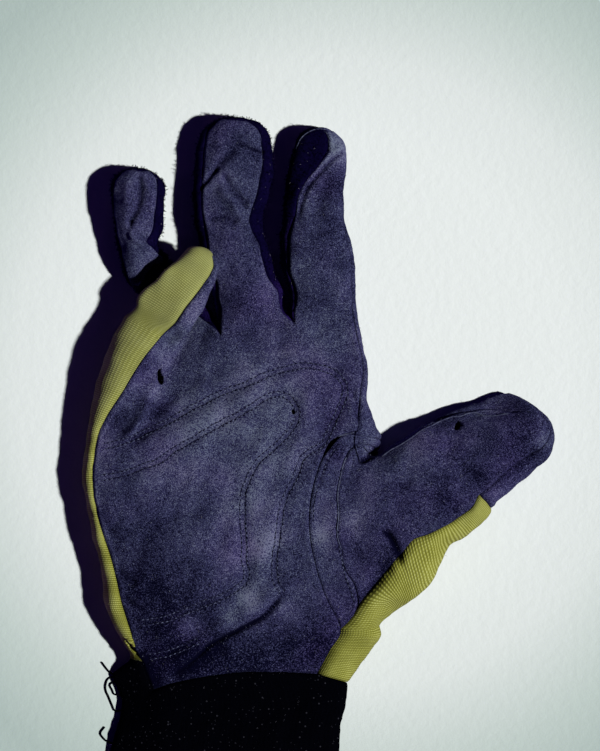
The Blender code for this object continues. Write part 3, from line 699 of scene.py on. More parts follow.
def side_wall(front, out, back, columns):
    """From a front seam round the silhouette to under the glove, one row per pair of points."""
    w = np.linspace(0, 1, columns + 1)[None, :, None]
    plan = (8 * out - front[:, :2] - back[:, :2]) / 6
    high = np.column_stack([plan, 0.92 * front[:, 2]])[:, None]
    low = np.column_stack([plan, back[:, 2]])[:, None]
    return (
        (1 - w) ** 3 * front[:, None]
        + 3 * w * (1 - w) ** 2 * high
        + 3 * w**2 * (1 - w) * low
        + w**3 * back[:, None]
    )


def ring_angles(row, front_columns):
    """The angles of one section's points, evenly spaced between its four seams."""
    left, right, right_back, left_back = row[5:]
    runs = (
        (left, right, front_columns),
        (right, right_back, SIDE_COLUMNS),
        (right_back, left_back, front_columns),
        (left_back, left - 360, SIDE_COLUMNS),
    )
    return np.radians(np.concatenate([np.linspace(a, b, n + 1)[:-1] for a, b, n in runs]))


def ring(row, direction, front_columns):
    """One section's closed ring: front left to right, right side, back right to left, left side."""
    x, y, z, half_width, half_height = row[:5]
    angles = ring_angles(row, front_columns)
    across = np.sign(np.cos(angles)) * abs(np.cos(angles)) ** (2 / SECTION_POWER) * half_width
    up = np.sign(np.sin(angles)) * abs(np.sin(angles)) ** (2 / SECTION_POWER) * half_height
    side = np.array([direction[1], -direction[0]])
    plan = np.array([x, y]) + across[:, None] * side
    return np.column_stack([plan, np.maximum(z + up, 0)])


def unit(vector):
    return vector / max(np.linalg.norm(vector), 1e-9)


def digit(sections, tip, root, before, front_columns, shares):
    """The digit's rings of points from its root ring to its tip.

    before is the ring just behind the root, which gives the skin its direction as it leaves the palm.
    """
    sections = np.asarray(sections, float)
    middles = np.vstack([root[:, :2].mean(0), sections[:, :2]])
    count = len(middles)
    directions = [unit(middles[min(i + 1, count - 1)] - middles[i - 1]) for i in range(1, count)]
    keys = [before, root] + [ring(row, d, front_columns) for row, d in zip(sections, directions)]
    last, heading = sections[-1], directions[-1]
    reach, bend = tip

    def tip_ring(angle):
        shape = last.copy()
        sideways = np.array([heading[1], -heading[0]]) * bend * (1 - math.cos(angle))
        shape[:2] += heading * reach * math.sin(angle) + sideways
        shape[3] *= max(math.cos(angle), 0.02)
        shape[4] *= TIP_HEIGHT_KEPT + (1 - TIP_HEIGHT_KEPT) * math.cos(angle)
        return ring(shape, heading, front_columns)

    ends = [tip_ring(angle) for angle in np.linspace(0, math.pi / 2, TIP_ROWS + 1)[1:]]
    keys.append(tip_ring(math.pi / 4))
    rings = along(np.array(keys), 1 + np.asarray(shares))
    rings[..., 2] = np.maximum(rings[..., 2], 0)
    apex = np.broadcast_to(ends[-1].mean(0), ends[-1].shape)
    return np.concatenate([rings, ends[:-1], apex[None]])


def blend(start, end, columns):
    """Points evenly spaced from start to end."""
    w = np.linspace(0, 1, columns + 1)[:, None]
    return (1 - w) * start + w * end


def closed_ring(front, right, back, left):
    """Four open runs joined head to tail into one ring without repeated points."""
    return np.concatenate([front[:-1], right[:-1], back[:-1], left[:-1]])


def cuff_ring(y, left, right, height, columns):
    """One ring of the cuff: nearly flat in front, flat behind, with rounded sides."""
    u = np.linspace(0, 1, columns + 1)
    x = left + 4 + (right - left - 8) * u
    level = np.full_like(x, y)
    front = np.column_stack([x, level, height * (1 - 0.18 * abs(2 * u - 1) ** 5)])
    back = np.column_stack([x, level, np.zeros_like(x)])[::-1]
    walls = []
    for edge, corner, under in ((right, front[-1], back[0]), (left, front[0], back[-1])):
        walls.append(side_wall(corner[None], np.array([[edge, y]]), under[None], SIDE_COLUMNS)[0])
    return closed_ring(front, walls[0], back, walls[1][::-1])


def root_rings(runs, front_shift, back_shift):
    """The ring of four runs, and the ring just behind it on the palm."""
    shifts = [
        front_shift,
        blend(front_shift[-1], back_shift[0], SIDE_COLUMNS),
        back_shift,
        blend(back_shift[-1], front_shift[0], SIDE_COLUMNS),
    ]
    return closed_ring(*runs), closed_ring(*[run + shift for run, shift in zip(runs, shifts)])


def glove_skin():
    """Every grid of the outer skin, as (points, names): one piece name for each quad."""
    rows = PALM_ROWS * (len(ULNAR_EDGE) - 1) + 1
    steps = np.linspace(0, len(ULNAR_EDGE) - 1, rows)
    columns = 4 * FINGER_COLUMNS + 1
    ulnar, radial = along(ULNAR_EDGE, steps), along(RADIAL_EDGE, steps)
    places = np.linspace(0, 4, columns)
    plan = patch(ulnar[:, :2], radial[:, :2], along(WRIST_FRONT, places), along(ROOTS_FRONT, places))
    front = np.dstack([plan, heights(PALM_HEIGHT, ulnar[:, 2], radial[:, 2], rows, columns)])
    plan = patch(ulnar[:, 5:7], radial[:, 5:7], along(WRIST_BACK, places), along(ROOTS_BACK, places))
    back = np.dstack([plan, heights(BACK_HEIGHT, ulnar[:, 7], radial[:, 7], rows, columns)])
    back[..., 2] = np.maximum(back[..., 2], 0)
    outer = side_wall(front[:, 0], ulnar[:, 3:5], back[:, 0], SIDE_COLUMNS)
    inner = side_wall(front[:, -1], radial[:, 3:5], back[:, -1], SIDE_COLUMNS)
    low, high = THUMB_LOW * PALM_ROWS, THUMB_HIGH * PALM_ROWS
    cuff_rows = [["cuff"] * SIDE_COLUMNS] * PALM_ROWS  # the cuff wraps up round the outer corner
    grids = [
        (front, "palm_front"),
        (back, "back_panel"),
        (outer, cuff_rows + [["back_panel"] * SIDE_COLUMNS] * (rows - 1 - len(cuff_rows))),
        (inner[: low + 1], "thumb_back"),
        (inner[high:], "index_side"),
    ]
    crotches = [
        blend(front[-1, i * FINGER_COLUMNS], back[-1, i * FINGER_COLUMNS], SIDE_COLUMNS) for i in range(5)
    ]
    crotches[0], crotches[4] = outer[-1], inner[-1]
    fingers = (
        ("little", LITTLE, "back_panel", "gusset_little_ring"),
        ("ring", RING, "gusset_little_ring", "gusset_ring_middle"),
        ("middle", MIDDLE, "gusset_ring_middle", "gusset_middle_index"),
        ("index", INDEX, "gusset_middle_index", "index_side"),
    )
    for number, (name, sections, left_name, right_name) in enumerate(fingers):
        cut = slice(number * FINGER_COLUMNS, (number + 1) * FINGER_COLUMNS + 1)
        runs = [front[-1, cut], crotches[number + 1], back[-1, cut][::-1], crotches[number][::-1]]
        front_shift = front[-1 - PALM_ROWS, cut] - front[-1, cut]
        back_shift = (back[-1 - PALM_ROWS, cut] - back[-1, cut])[::-1]
        root, before = root_rings(runs, front_shift, back_shift)
        shares = np.linspace(0, len(sections), DIGIT_ROWS * len(sections) + 1)
        rings = digit(sections, TIPS[name], root, before, FINGER_COLUMNS, shares)
        names = ["palm_front"] * FINGER_COLUMNS + [right_name] * SIDE_COLUMNS
        names += ["back_panel"] * FINGER_COLUMNS + [left_name] * SIDE_COLUMNS
        closed = np.concatenate([rings, rings[:, :1]], axis=1)
        half = FINGER_COLUMNS // 2
        end = [left_name] * half + [right_name] * (2 * half + SIDE_COLUMNS)
        end += [left_name] * (half + SIDE_COLUMNS)
        if name == "little":
            end = ["back_panel"] * len(names)
        grids.append((closed, [names] * (len(rings) - 1 - TIP_SEAM_ROWS) + [end] * TIP_SEAM_ROWS))
    grids.append(thumb_grid(front, back, inner, low, high))
    wrist = closed_ring(front[0], inner[0], back[0][::-1], outer[0][::-1])
    rings = np.array([wrist] + [cuff_ring(*row, columns - 1) for row in CUFF])
    rings = along(rings, np.linspace(0, len(CUFF), CUFF_ROWS * len(CUFF) + 1))
    rings[..., 2] = np.maximum(rings[..., 2], 0)
    grids.append((np.concatenate([rings, rings[:, :1]], axis=1), "cuff"))
    return grids


def thumb_grid(front, back, inner, low, high):
    """The thumb's grid from the opening between two rows of the palm, with each quad's piece."""
    columns = high - low
    top, bottom = front[low : high + 1], back[low : high + 1]
    runs = [top[::-1, -1], inner[low], bottom[:, -1], inner[high][::-1]]
    reach = FINGER_COLUMNS // 2
    top_shift, bottom_shift = top[:, -1 - reach] - top[:, -1], bottom[:, -1 - reach] - bottom[:, -1]
    root, before = root_rings(runs, top_shift[::-1], bottom_shift)
    strip = np.linspace(0, STRIP_SHARE, THUMB_ROWS)[:-1]
    shares = np.concatenate(
        [
            strip,
            np.linspace(STRIP_SHARE, 1, THUMB_ROWS + 1),
            np.linspace(1, CAP_FROM, 2 * THUMB_ROWS + 2)[1:],
            np.linspace(CAP_FROM, len(THUMB), THUMB_ROWS + 2)[1:],
        ]
    )
    rings = digit(THUMB, TIPS["thumb"], root, before, columns, shares)
    names = []
    for row in range(len(rings) - 1):
        share = shares[row] if row < len(shares) else len(THUMB)
        above = "thumb_strip" if share < STRIP_SHARE - 1e-6 else "thumb_front"
        capped = share > CAP_FROM - 1e-6
        below = "thumb_cap" if capped else "thumb_back"
        beside = "thumb_cap" if capped else above
        names.append([above] * columns + [below] * (SIDE_COLUMNS + columns) + [beside] * SIDE_COLUMNS)
    for row in names[-TIP_SEAM_ROWS:]:
        row[:] = ["thumb_cap"] * len(row)
    return np.concatenate([rings, rings[:, :1]], axis=1), names


def cloth_places(grid):
    """For each point of a grid, how far across and along the cloth it lies, in mm."""
    across = np.linalg.norm(np.diff(grid, axis=1), axis=2).mean(0)
    lengthways = np.linalg.norm(np.diff(grid, axis=0), axis=2).mean(1)
    u = np.concatenate([[0], np.cumsum(across)])
    v = np.concatenate([[0], np.cumsum(lengthways)]) + grid[0, :, 1].mean()
    return np.dstack(np.meshgrid(u, v))


def weld(grids):
    """All grids as one list of points and faces; each face with its piece's name and cloth places."""
    points, places, faces, names = [], [], [], []
    start = 0
    for grid, labels in grids:
        rows, columns = grid.shape[:2]
        points.append(grid.reshape(-1, 3))
        places.append(cloth_places(grid).reshape(-1, 2))
        corner = start + np.arange(rows * columns).reshape(rows, columns)
        around = [corner[:-1, :-1], corner[:-1, 1:], corner[1:, 1:], corner[1:, :-1]]
        faces.append(np.stack([part.reshape(-1) for part in around], axis=1))
        for row in range(rows - 1):
            names += [labels] * (columns - 1) if isinstance(labels, str) else labels[row]
        start += rows * columns
    points, places = np.concatenate(points), np.concatenate(places)
    _, first, index = np.unique(
        np.round(points + 0.00031, 3), axis=0, return_index=True, return_inverse=True
    )
    index = index.reshape(-1)
    kept_faces, kept_places, kept_names = [], [], []
    for face, name in zip(np.concatenate(faces), names):
        corners = {}
        for point, place in zip(index[face].tolist(), places[face]):
            corners.setdefault(point, place)
        if len(corners) > 2:
            kept_faces.append(list(corners))
            kept_places.append(list(corners.values()))
            kept_names.append(name)
    return points[first], kept_faces, kept_places, kept_names


def point_normals(points, faces):
    """Each point's outward normal, from faces that all turn the same way."""
    corners = np.array([face + face[-1:] if len(face) == 3 else face for face in faces])
    a, b, c, d = (points[corners[:, i]] for i in range(4))
    own = np.cross(c - a, d - b)
    normals = np.zeros_like(points)
    for column in range(4):
        np.add.at(normals, corners[:, column], own)
    return normals / np.maximum(np.linalg.norm(normals, axis=1), 1e-9)[:, None]


def border_edges(faces):
    """The directed edges that only one of the faces has."""
    edges = {(a, b) for face in faces for a, b in zip(face, face[1:] + face[:1])}
    return [(a, b) for a, b in edges if (b, a) not in edges]


def turned_outwards(points, faces, places):
    """The faces, and their corners' cloth places, all turned so that the skin faces outwards."""
    mesh = bmesh.new()
    vertices = [mesh.verts.new(point) for point in points]
    made = [mesh.faces.new([vertices[i] for i in face]) for face in faces]
    bmesh.ops.recalc_face_normals(mesh, faces=mesh.faces)
    mesh.verts.index_update()
    inside_out = made[0].normal.z < 0
    for number, face in enumerate(made):
        loops = [loop.vert.index for loop in face.loops]
        follows = loops[(loops.index(faces[number][0]) + 1) % len(loops)]
        if (follows != faces[number][1]) != inside_out:
            faces[number] = faces[number][::-1]
            places[number] = places[number][::-1]
    mesh.free()
    return faces, places


def smooth_line(points, spacing=1.2):
    """A smooth line through a table's few points, with a point about every spacing mm."""
    rows = np.asarray(points, float)
    length = np.linalg.norm(np.diff(rows, axis=0), axis=1).sum()
    steps = max(2, int(length / spacing))
    fine = along(rows, np.linspace(0, len(rows) - 1, 8 * len(rows)))
    walked = np.concatenate([[0], np.cumsum(np.linalg.norm(np.diff(fine, axis=0), axis=1))])
    even = np.linspace(0, walked[-1], steps + 1)
    return np.column_stack([np.interp(even, walked, fine[:, i]) for i in range(fine.shape[1])])


def nearest(plan, line, reach):
    """For the plan points within reach of a line: their numbers, distances, shares of its length."""
    inside = (plan > line.min(0) - reach) & (plan < line.max(0) + reach)
    chosen = np.nonzero(inside.all(1))[0]
    near = plan[chosen]
    distance = np.full(len(near), np.inf)
    share = np.zeros(len(near))
    for number, (a, b) in enumerate(zip(line[:-1], line[1:])):
        step = b - a
        t = np.clip((near - a) @ step / (step @ step), 0, 1)
        away = np.linalg.norm(near - a - t[:, None] * step, axis=1)
        closer = away < distance
        distance[closer] = away[closer]
        share[closer] = (number + t[closer]) / (len(line) - 1)
    return chosen, distance, share


def faded(share, ends=0.18):
    """1 along a fold, down to 0 at its two ends."""
    t = np.clip(np.minimum(share, 1 - share) / ends, 0, 1)
    return t * t * (3 - 2 * t)


def ripple(points, size, seed):
    """A smooth random height at each point, mostly between -1 and 1, with waves about size mm long."""
    maker = np.random.default_rng(seed)
    total = np.zeros(len(points))
    for _ in range(14):
        way = maker.normal(size=3)
        way *= 2 * math.pi / (size * maker.uniform(0.7, 1.6) * np.linalg.norm(way))
        total += np.sin(points @ way + maker.uniform(0, 2 * math.pi))
    return total / 3.2


def fold_heights(plan, folds):
    """Height and painted shade that a table of folds gives each plan point; a crest's painted highlight is
    negative.
    """
    height, dark = np.zeros(len(plan)), np.zeros(len(plan))
    for rise, width, shade, points in folds.values():
        line = smooth_line(points)
        chosen, distance, share = nearest(plan, line, 3 * width)
        shape = faded(share) * np.exp(-((distance / width) ** 2))
        height[chosen] += rise * shape
        tint = shade * faded(share) * np.exp(-((distance / (0.8 * width)) ** 2))
        dark[chosen] = np.where(abs(tint) > abs(dark[chosen]), tint, dark[chosen])
    return height, dark


def quilted(plan):
    """The padding's stitched lines: a narrow trough with painted shade, with the padding standing up beside
    it.
    """
    height, dark = np.zeros(len(plan)), np.zeros(len(plan))
    for points in PADDING_STITCHES.values():
        chosen, distance, share = nearest(plan, smooth_line(points), 12)
        ends = faded(share, 0.04)
        height[chosen] -= 0.45 * ends * np.exp(-((distance / 1.5) ** 2))
        height[chosen] += 0.35 * ends * np.exp(-(((distance - 4.5) / 2.6) ** 2))
        dark[chosen] = np.maximum(dark[chosen], 0.22 * ends * np.exp(-((distance / 1.7) ** 2)))
    return height, dark


def near_spot(plan, x, y, radius):
    """1 at a spot and fading smoothly away from it, for each plan point."""
    return np.exp(-((np.hypot(plan[:, 0] - x, plan[:, 1] - y) / radius) ** 2))


def total_at(table, plan):
    """What a table of soft round places (x, y, radius, amount) adds up to at each plan point."""
    return sum(amount * near_spot(plan, x, y, radius) for x, y, radius, amount in table)


def worn_skin():
    """The whole skin with its folds, and at each point its wear with painted light, and its painted shade."""
    points, faces, places, names = weld(glove_skin())
    faces, places = turned_outwards(points, faces, places)
    for x, y, radius, *move in NUDGES:
        points += near_spot(points, x, y, radius)[:, None] * np.array(move)
    for x, y, radius, share in SUNKEN:
        points[:, 2] *= 1 - share * near_spot(points, x, y, radius)
    normals = point_normals(points, faces)
    plan = points[:, :2]
    palm_side = np.clip(normals[:, 2] * 2.5 - 0.2, 0, 1)
    back_side = np.clip(-normals[:, 2] * 2.5 - 0.2, 0, 1)
    palm_height, palm_dark = fold_heights(plan, PALM_FOLDS)
    quilt_height, quilt_dark = quilted(plan)
    back_height, back_dark = fold_heights(plan, BACK_FOLDS)
    soft = 0.45 * ripple(points, 24, 1) + 0.2 * ripple(points, 9, 2) + 0.07 * ripple(points, 3.6, 3)
    rise = palm_side * (palm_height + quilt_height) + back_side * back_height + soft
    # Wear with painted light: paler or darker patches from the table, kept off what faces down
    wear_and_painted_light = total_at(WEAR_AND_PAINTED_LIGHT, plan) * np.clip(normals[:, 2] * 2.5 + 0.8, 0, 1)
    # Painted shade in folds, stitched troughs and the deep corners; a negative value is a painted highlight
    # on a crest
    dark = palm_side * (palm_dark + quilt_dark) + back_side * back_dark
    for x, y, radius, shade in DEEP_SHADE:
        dark = np.maximum(dark, shade * near_spot(plan, x, y, radius))
    points = points + rise[:, None] * normals
    points[:, 2] = np.maximum(points[:, 2], 0)
    faces, places, names = holed(points, normals, faces, places, names)
    return points, faces, places, names, wear_and_painted_light, dark


def holed(points, normals, faces, places, names):
    """The faces without those in worn-through places, whose edges are drawn to a smooth oval."""
    middles = np.array([points[face].mean(0) for face in faces])
    facing = np.array([normals[face[0], 2] for face in faces]) > 0.1
    kept = np.ones(len(faces), bool)
    for x, y, half_length, half_width, turn in HOLES:
        along_way = np.array([math.cos(math.radians(turn)), math.sin(math.radians(turn))])
        across_way = np.array([-along_way[1], along_way[0]])
        size = np.array([half_length, half_width])

        def oval(plan):
            local = plan - np.array([x, y])
            return np.column_stack([local @ along_way, local @ across_way]) / size

        cut = facing & (np.linalg.norm(oval(middles[:, :2]), axis=1) < 1)
        kept &= ~cut
        rim = np.unique(np.concatenate([faces[i] for i in np.nonzero(cut)[0]]))
        rim = np.intersect1d(rim, np.unique(np.concatenate([faces[i] for i in np.nonzero(kept)[0]])))
        for corner, place in zip(rim, oval(points[rim, :2])):
            place = place / max(np.linalg.norm(place), 0.2) * size
            points[corner, :2] = np.array([x, y]) + place[0] * along_way + place[1] * across_way
    chosen = np.nonzero(kept)[0]
    return [faces[i] for i in chosen], [places[i] for i in chosen], [names[i] for i in chosen]


def edge_pulls(points, normals, faces):
    """Each border point with the way into the piece there."""
    borders = border_edges(faces)
    following, leading = dict(borders), {b: a for a, b in borders}
    corners, ways = [], []
    for corner, after in following.items():
        ahead = unit(points[after] - points[corner])
        astern = unit(points[leading[corner]] - points[corner])
        corners.append(corner)
        ways.append(unit(np.cross(normals[corner], unit(ahead - astern))))
    return np.array(corners), np.array(ways)


def seamed(points, normals, faces, used, roll):
    """The piece's points with its edges drawn in, rolled and sunk into the seam; how near each edge is."""
    corners, ways = edge_pulls(points, normals, faces)
    sewn = np.ones(len(corners), bool)
    for x, y, half_length, _, _ in HOLES:
        sewn &= np.hypot(points[corners, 0] - x, points[corners, 1] - y) > half_length + 0.3
    corners, ways = corners[sewn], ways[sewn]
    tree = KDTree(len(corners))
    for number, corner in enumerate(corners):
        tree.insert(points[corner], number)
    tree.balance()
    extras = total_at(OPEN_SEAMS, points[corners])
    tights = np.minimum(total_at(TIGHT_SEAMS, points[corners]), 1)
    moved = points.copy()
    edge = np.zeros(len(points))
    for i in used:
        _, number, distance = tree.find(points[i])
        if distance > SEAM_REACH:
            continue
        extra, tight = extras[number], tights[number]
        pull = (1 - tight) * SEAM_DRAW * max(0, 1 - distance / 1.2) + extra * (1 - distance / SEAM_REACH) ** 2
        lift = roll * math.exp(-(((distance - 1.3) / 0.8) ** 2))
        lift -= (1 - tight) * SEAM_SINK * math.exp(-((distance / 0.6) ** 2))
        moved[i] = points[i] + ways[number] * pull + normals[i] * lift
        edge[i] = math.exp(-((distance / 0.9) ** 2))
    moved[:, 2] = np.maximum(moved[:, 2], 0)
    return moved, edge


def framed(points):
    """Table sizes in mm as places in the frame, in metres."""
    return (np.asarray(points) - np.array([*CENTRE, 0])) * MM


def new_piece(name, points, faces, material):
    """An object at the origin with those faces, its points given in table mm, riding the one body."""
    mesh = bpy.data.meshes.new(name)
    mesh.from_pydata(framed(points), [], faces)
    mesh.materials.append(material)
    mesh.shade_smooth()
    piece = bpy.data.objects.new(name, mesh)
    bpy.context.scene.collection.objects.link(piece)
    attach(piece, "root")
    return piece


def cut_piece(name, skin, normals, materials):
    """One cut piece: its part of the skin with a wall inwards. Gives its outer points and faces."""
    points, all_faces, all_places, names, wear_and_painted_light, dark = skin
    node, wall, roll, finish, (width, length) = PIECES[name]
    own = [i for i, label in enumerate(names) if label == node]
    faces, places = [all_faces[i] for i in own], [all_places[i] for i in own]
    used = sorted({corner for face in faces for corner in face})
    outside, edge = seamed(points, normals, faces, used, roll)
    inside = outside - wall * normals
    place = {corner: i for i, corner in enumerate(used)}
    count = len(used)
    solid = [[place[i] for i in face] for face in faces]
    cloth = list(places)
    solid += [[place[i] + count for i in face[::-1]] for face in faces]
    cloth += [corner_places[::-1] for corner_places in places]
    corner_place = {corner: at for face, ats in zip(faces, places) for corner, at in zip(face, ats)}
    for a, b in border_edges(faces):
        solid.append([place[b], place[a], place[a] + count, place[b] + count])
        cloth.append([corner_place[b], corner_place[a], corner_place[a], corner_place[b]])
    piece = new_piece(name, np.concatenate([outside[used], inside[used]]), solid, materials[finish])
    mesh = piece.data
    layer = mesh.uv_layers.new(name="cloth")
    flat_corners = np.concatenate([np.concatenate(corners) for corners in cloth])
    layer.data.foreach_set("uv", flat_corners.astype(np.float32))
    # Gusset pieces carry the painted fill light of the crotches in place of the wear
    wear_and_fill_light = np.minimum(total_at(CROTCH_PAINTED_FILL, points), 1) if finish == "gusset_cloth" else wear_and_painted_light
    for label, values in (("wear_and_painted_light", wear_and_fill_light), ("dark", dark), ("edge", edge)):
        attribute = mesh.attributes.new(label, "FLOAT", "POINT")
        attribute.data.foreach_set("value", np.tile(values[used], 2).astype(np.float32))
    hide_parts(node)
    return outside, faces


def tubes(paths, radius, sides):
    """Points and faces of thin closed tubes, one along each path of the same number of points."""
    paths = np.asarray(paths, float)
    count, steps = paths.shape[:2]
    heading = np.gradient(paths, axis=1)
    heading /= np.maximum(np.linalg.norm(heading, axis=2, keepdims=True), 1e-9)
    across = np.cross(heading, np.array([0.13, 0.21, 0.97]))
    across /= np.maximum(np.linalg.norm(across, axis=2, keepdims=True), 1e-9)
    up = np.cross(across, heading)
    turn = np.linspace(0, 2 * math.pi, sides, endpoint=False)
    rings = paths[:, :, None] + radius * (
        np.cos(turn)[:, None] * across[:, :, None] + np.sin(turn)[:, None] * up[:, :, None]
    )
    corner = np.arange(steps * sides).reshape(steps, sides)
    after = np.roll(corner, -1, axis=1)
    walls = np.stack([corner[:-1], after[:-1], after[1:], corner[1:]], axis=2).reshape(-1, 4).tolist()
    ends = [corner[0][::-1].tolist(), corner[-1].tolist()]
    faces = []
    for number in range(count):
        start = number * steps * sides
        faces += [[i + start for i in face] for face in walls + ends]
    return rings.reshape(-1, 3), faces


def laid_on(ground, path, lift):
    """A path drawn to the nearest cloth and lifted a little off it."""
    laid = []
    for point in path:
        spot, up, _, _ = ground.find_nearest(Vector(point))
        laid.append(np.array(spot) + lift * np.array(up))
    return np.array(laid)


def unit_ball(across, down):
    """Points and faces of a small ball, 1 in radius."""
    mesh = bmesh.new()
    bmesh.ops.create_uvsphere(mesh, u_segments=across, v_segments=down, radius=1)
    mesh.verts.index_update()
    points = np.array([vertex.co for vertex in mesh.verts])
    faces = [[vertex.index for vertex in face.verts] for face in mesh.faces]
    mesh.free()
    return points, faces


def balls_at(middles, ways, ups, size):
    """Points and faces of one small ball at each middle, size long, wide and high along its own way."""
    shape, faces = unit_ball(6, 4)
    sides = np.cross(ups, ways)
    axes = np.stack([ways, sides, ups], axis=1) * np.asarray(size)[None, :, None]
    points = middles[:, None] + np.einsum("pk,nkc->npc", shape, axes)
    all_faces = [[i + n * len(shape) for i in face] for n in range(len(middles)) for face in faces]
    return points.reshape(-1, 3), all_faces


def stitch_places(ground, lines, pitch, sideways):
    """Middle, way and up of every stitch in a row run sideways mm beside each line."""
    middles, ways, ups = [], [], []
    for points in lines:
        line = smooth_line(points, pitch)
        heading = np.gradient(line, axis=0)
        heading /= np.linalg.norm(heading, axis=1)[:, None]
        beside = line + sideways * np.column_stack([-heading[:, 1], heading[:, 0]])
        for place, way in zip(beside[1:-1], heading[1:-1]):
            spot, up, _, _ = ground.ray_cast(Vector((*place, 60)), Vector((0, 0, -1)))
            if spot is None:
                continue
            up = np.array(up)
            way = np.array([*way, 0])
            middles.append(np.array(spot))
            ways.append(unit(way - up * (way @ up)))
            ups.append(up)
    return np.array(middles), np.array(ways), np.array(ups)


def sew(ground, materials):
    """The stitches that show: two rows along the padding, one beside each strip seam, and their holes in
    painted shade.
    """
    double = list(PADDING_STITCHES.values())
    single = list(SEAM_STITCHES.values())
    rows = [stitch_places(ground, double, STITCH_PITCH, side) for side in (-ROW_OFFSET, ROW_OFFSET)]
    rows.append(stitch_places(ground, single, STITCH_PITCH, 0))
    middles, ways, ups = (np.concatenate([row[i] for row in rows]) for i in range(3))
    slack = np.random.default_rng(5).uniform(-1, 1, (len(middles), 3))
    sides = np.cross(ups, ways)
    middles = middles + 0.12 * slack[:, :1] * sides + (0.08 + 0.05 * slack[:, 1:2]) * ups
    ways = ways + 0.16 * slack[:, 2:] * sides
    points, faces = balls_at(middles, ways, ups, STITCH_SIZE)
    new_piece("palm_stitches", points, faces, materials["thread"])
    # Each needle hole is a small dark oval: painted shade inside the hole
    pricks = middles + 0.5 * STITCH_PITCH * ways - 0.04 * ups
    points, faces = balls_at(pricks, ways, ups, NEEDLE_HOLE_SIZE)
    new_piece("needle_holes", points, faces, materials["needle_hole"])


def cloth_spots(outside, faces, count, seed):
    """Random places spread over a piece, with the way out of the cloth at each."""
    maker = np.random.default_rng(seed)
    quads = np.array([face + face[-1:] if len(face) == 3 else face for face in faces])
    corners = outside[quads]
    own = np.cross(corners[:, 2] - corners[:, 0], corners[:, 3] - corners[:, 1])
    area = np.linalg.norm(own, axis=1)
    chosen = maker.choice(len(faces), count, p=area / area.sum())
    ups = own[chosen] / np.maximum(area[chosen], 1e-9)[:, None]
    mix = maker.dirichlet(np.ones(4), count)
    return np.einsum("nk,nkc->nc", mix, corners[chosen]), ups


def fuzz(name, cloths, count, length, radius, seed, material, slot):
    """Short fibres standing up from the cloth, each bent over a little."""
    maker = np.random.default_rng(seed)
    outside, faces = merged(cloths)
    spots, ups = cloth_spots(outside, faces, count, seed)
    lean = maker.normal(size=(count, 3)) * 0.6
    tall = length * maker.uniform(0.4, 1.3, (count, 1))
    bend = maker.normal(size=(count, 3)) * 0.5
    middles = spots + tall * (ups + lean) * 0.5
    ends = spots + tall * (ups + lean + bend)
    paths = np.stack([spots - 0.15 * ups, middles, ends], axis=1)
    paths[:, :, 2] = np.maximum(paths[:, :, 2], 0.1)
    points, tube_faces = tubes(paths, radius, FIBRE_SIDES)
    new_piece(name, points, tube_faces, material)


def lint(name, cloths, count, length, radius, seed, material, slot):
    """Curled threads of lint lying on the cloth."""
    maker = np.random.default_rng(seed)
    outside, faces = merged(cloths)
    spots, ups = cloth_spots(outside, faces, count, seed)
    across = np.cross(ups, maker.normal(size=(count, 3)))
    across /= np.linalg.norm(across, axis=1)[:, None]
    side = np.cross(ups, across)
    reach = length * maker.uniform(0.3, 1.2, (count, 1))
    curl = maker.uniform(-0.9, 0.9, (count, 1))
    paths = []
    for t in np.linspace(-0.5, 0.5, 5):
        bow = reach * curl * (0.25 - t * t) * side
        paths.append(spots + reach * t * across + bow + (0.12 - 0.2 * t * t) * ups)
    points, tube_faces = tubes(np.stack(paths, axis=1), radius, FIBRE_SIDES)
    new_piece(name, points, tube_faces, material)


def merged(cloths):
    """Several pieces' points and faces as one list of each."""
    points, faces, start = [], [], 0
    for outside, own in cloths:
        points.append(outside)
        faces += [[i + start for i in face] for face in own]
        start += len(outside)
    return np.concatenate(points), faces


def cut_edges(cloths):
    """The points on the cut edges of several pieces."""
    rims = np.concatenate([outside[sorted({a for a, _ in border_edges(faces)})] for outside, faces in cloths])
    tree = KDTree(len(rims))
    for number, point in enumerate(rims):
        tree.insert(point, number)
    tree.balance()
    return tree


def kept_to(rims, path):
    """A path moved to the nearest cut edge where one is within reach, and evened out again."""
    kept = []
    for point in path:
        spot, _, distance = rims.find(point)
        kept.append(np.array(spot) + np.array([0, 0, RIM_LIFT]) if distance < RIM_REACH else point)
    kept = np.array(kept)
    for _ in range(3):
        kept[1:-1] = (kept[:-2] + 2 * kept[1:-1] + kept[2:]) / 4
    return kept


def surface_of(cloths):
    """Several pieces' outer faces, ready to be searched for the nearest spot."""
    points, faces = merged(cloths)
    return BVHTree.FromPolygons(points.tolist(), faces)


def add_node(tree, kind, links=None, **settings):
    """A shader node: links fill its sockets by name or number with a value or another node's socket."""
    node = tree.nodes.new(kind)
    for key, value in settings.items():
        setattr(node, key, value)
    for key, value in (links or {}).items():
        if isinstance(value, bpy.types.NodeSocket):
            tree.links.new(value, node.inputs[key])
        else:
            node.inputs[key].default_value = value
    return node


def sum_of(tree, *terms):
    """A socket with the sum of terms, each (socket, factor), and of the plain numbers among them."""
    total = sum(term for term in terms if isinstance(term, (int, float)))
    for term in terms:
        if isinstance(term, (int, float)):
            continue
        total = add_node(
            tree, "ShaderNodeMath", {0: term[0], 1: term[1], 2: total}, operation="MULTIPLY_ADD"
        ).outputs[0]
    return total


def math_of(tree, operation, a, b=0.0, clamp=False):
    return add_node(tree, "ShaderNodeMath", {0: a, 1: b}, operation=operation, use_clamp=clamp).outputs[0]


def place_of(tree):
    """Where on the piece the shaded spot lies, in metres."""
    return add_node(tree, "ShaderNodeTexCoord").outputs["Object"]


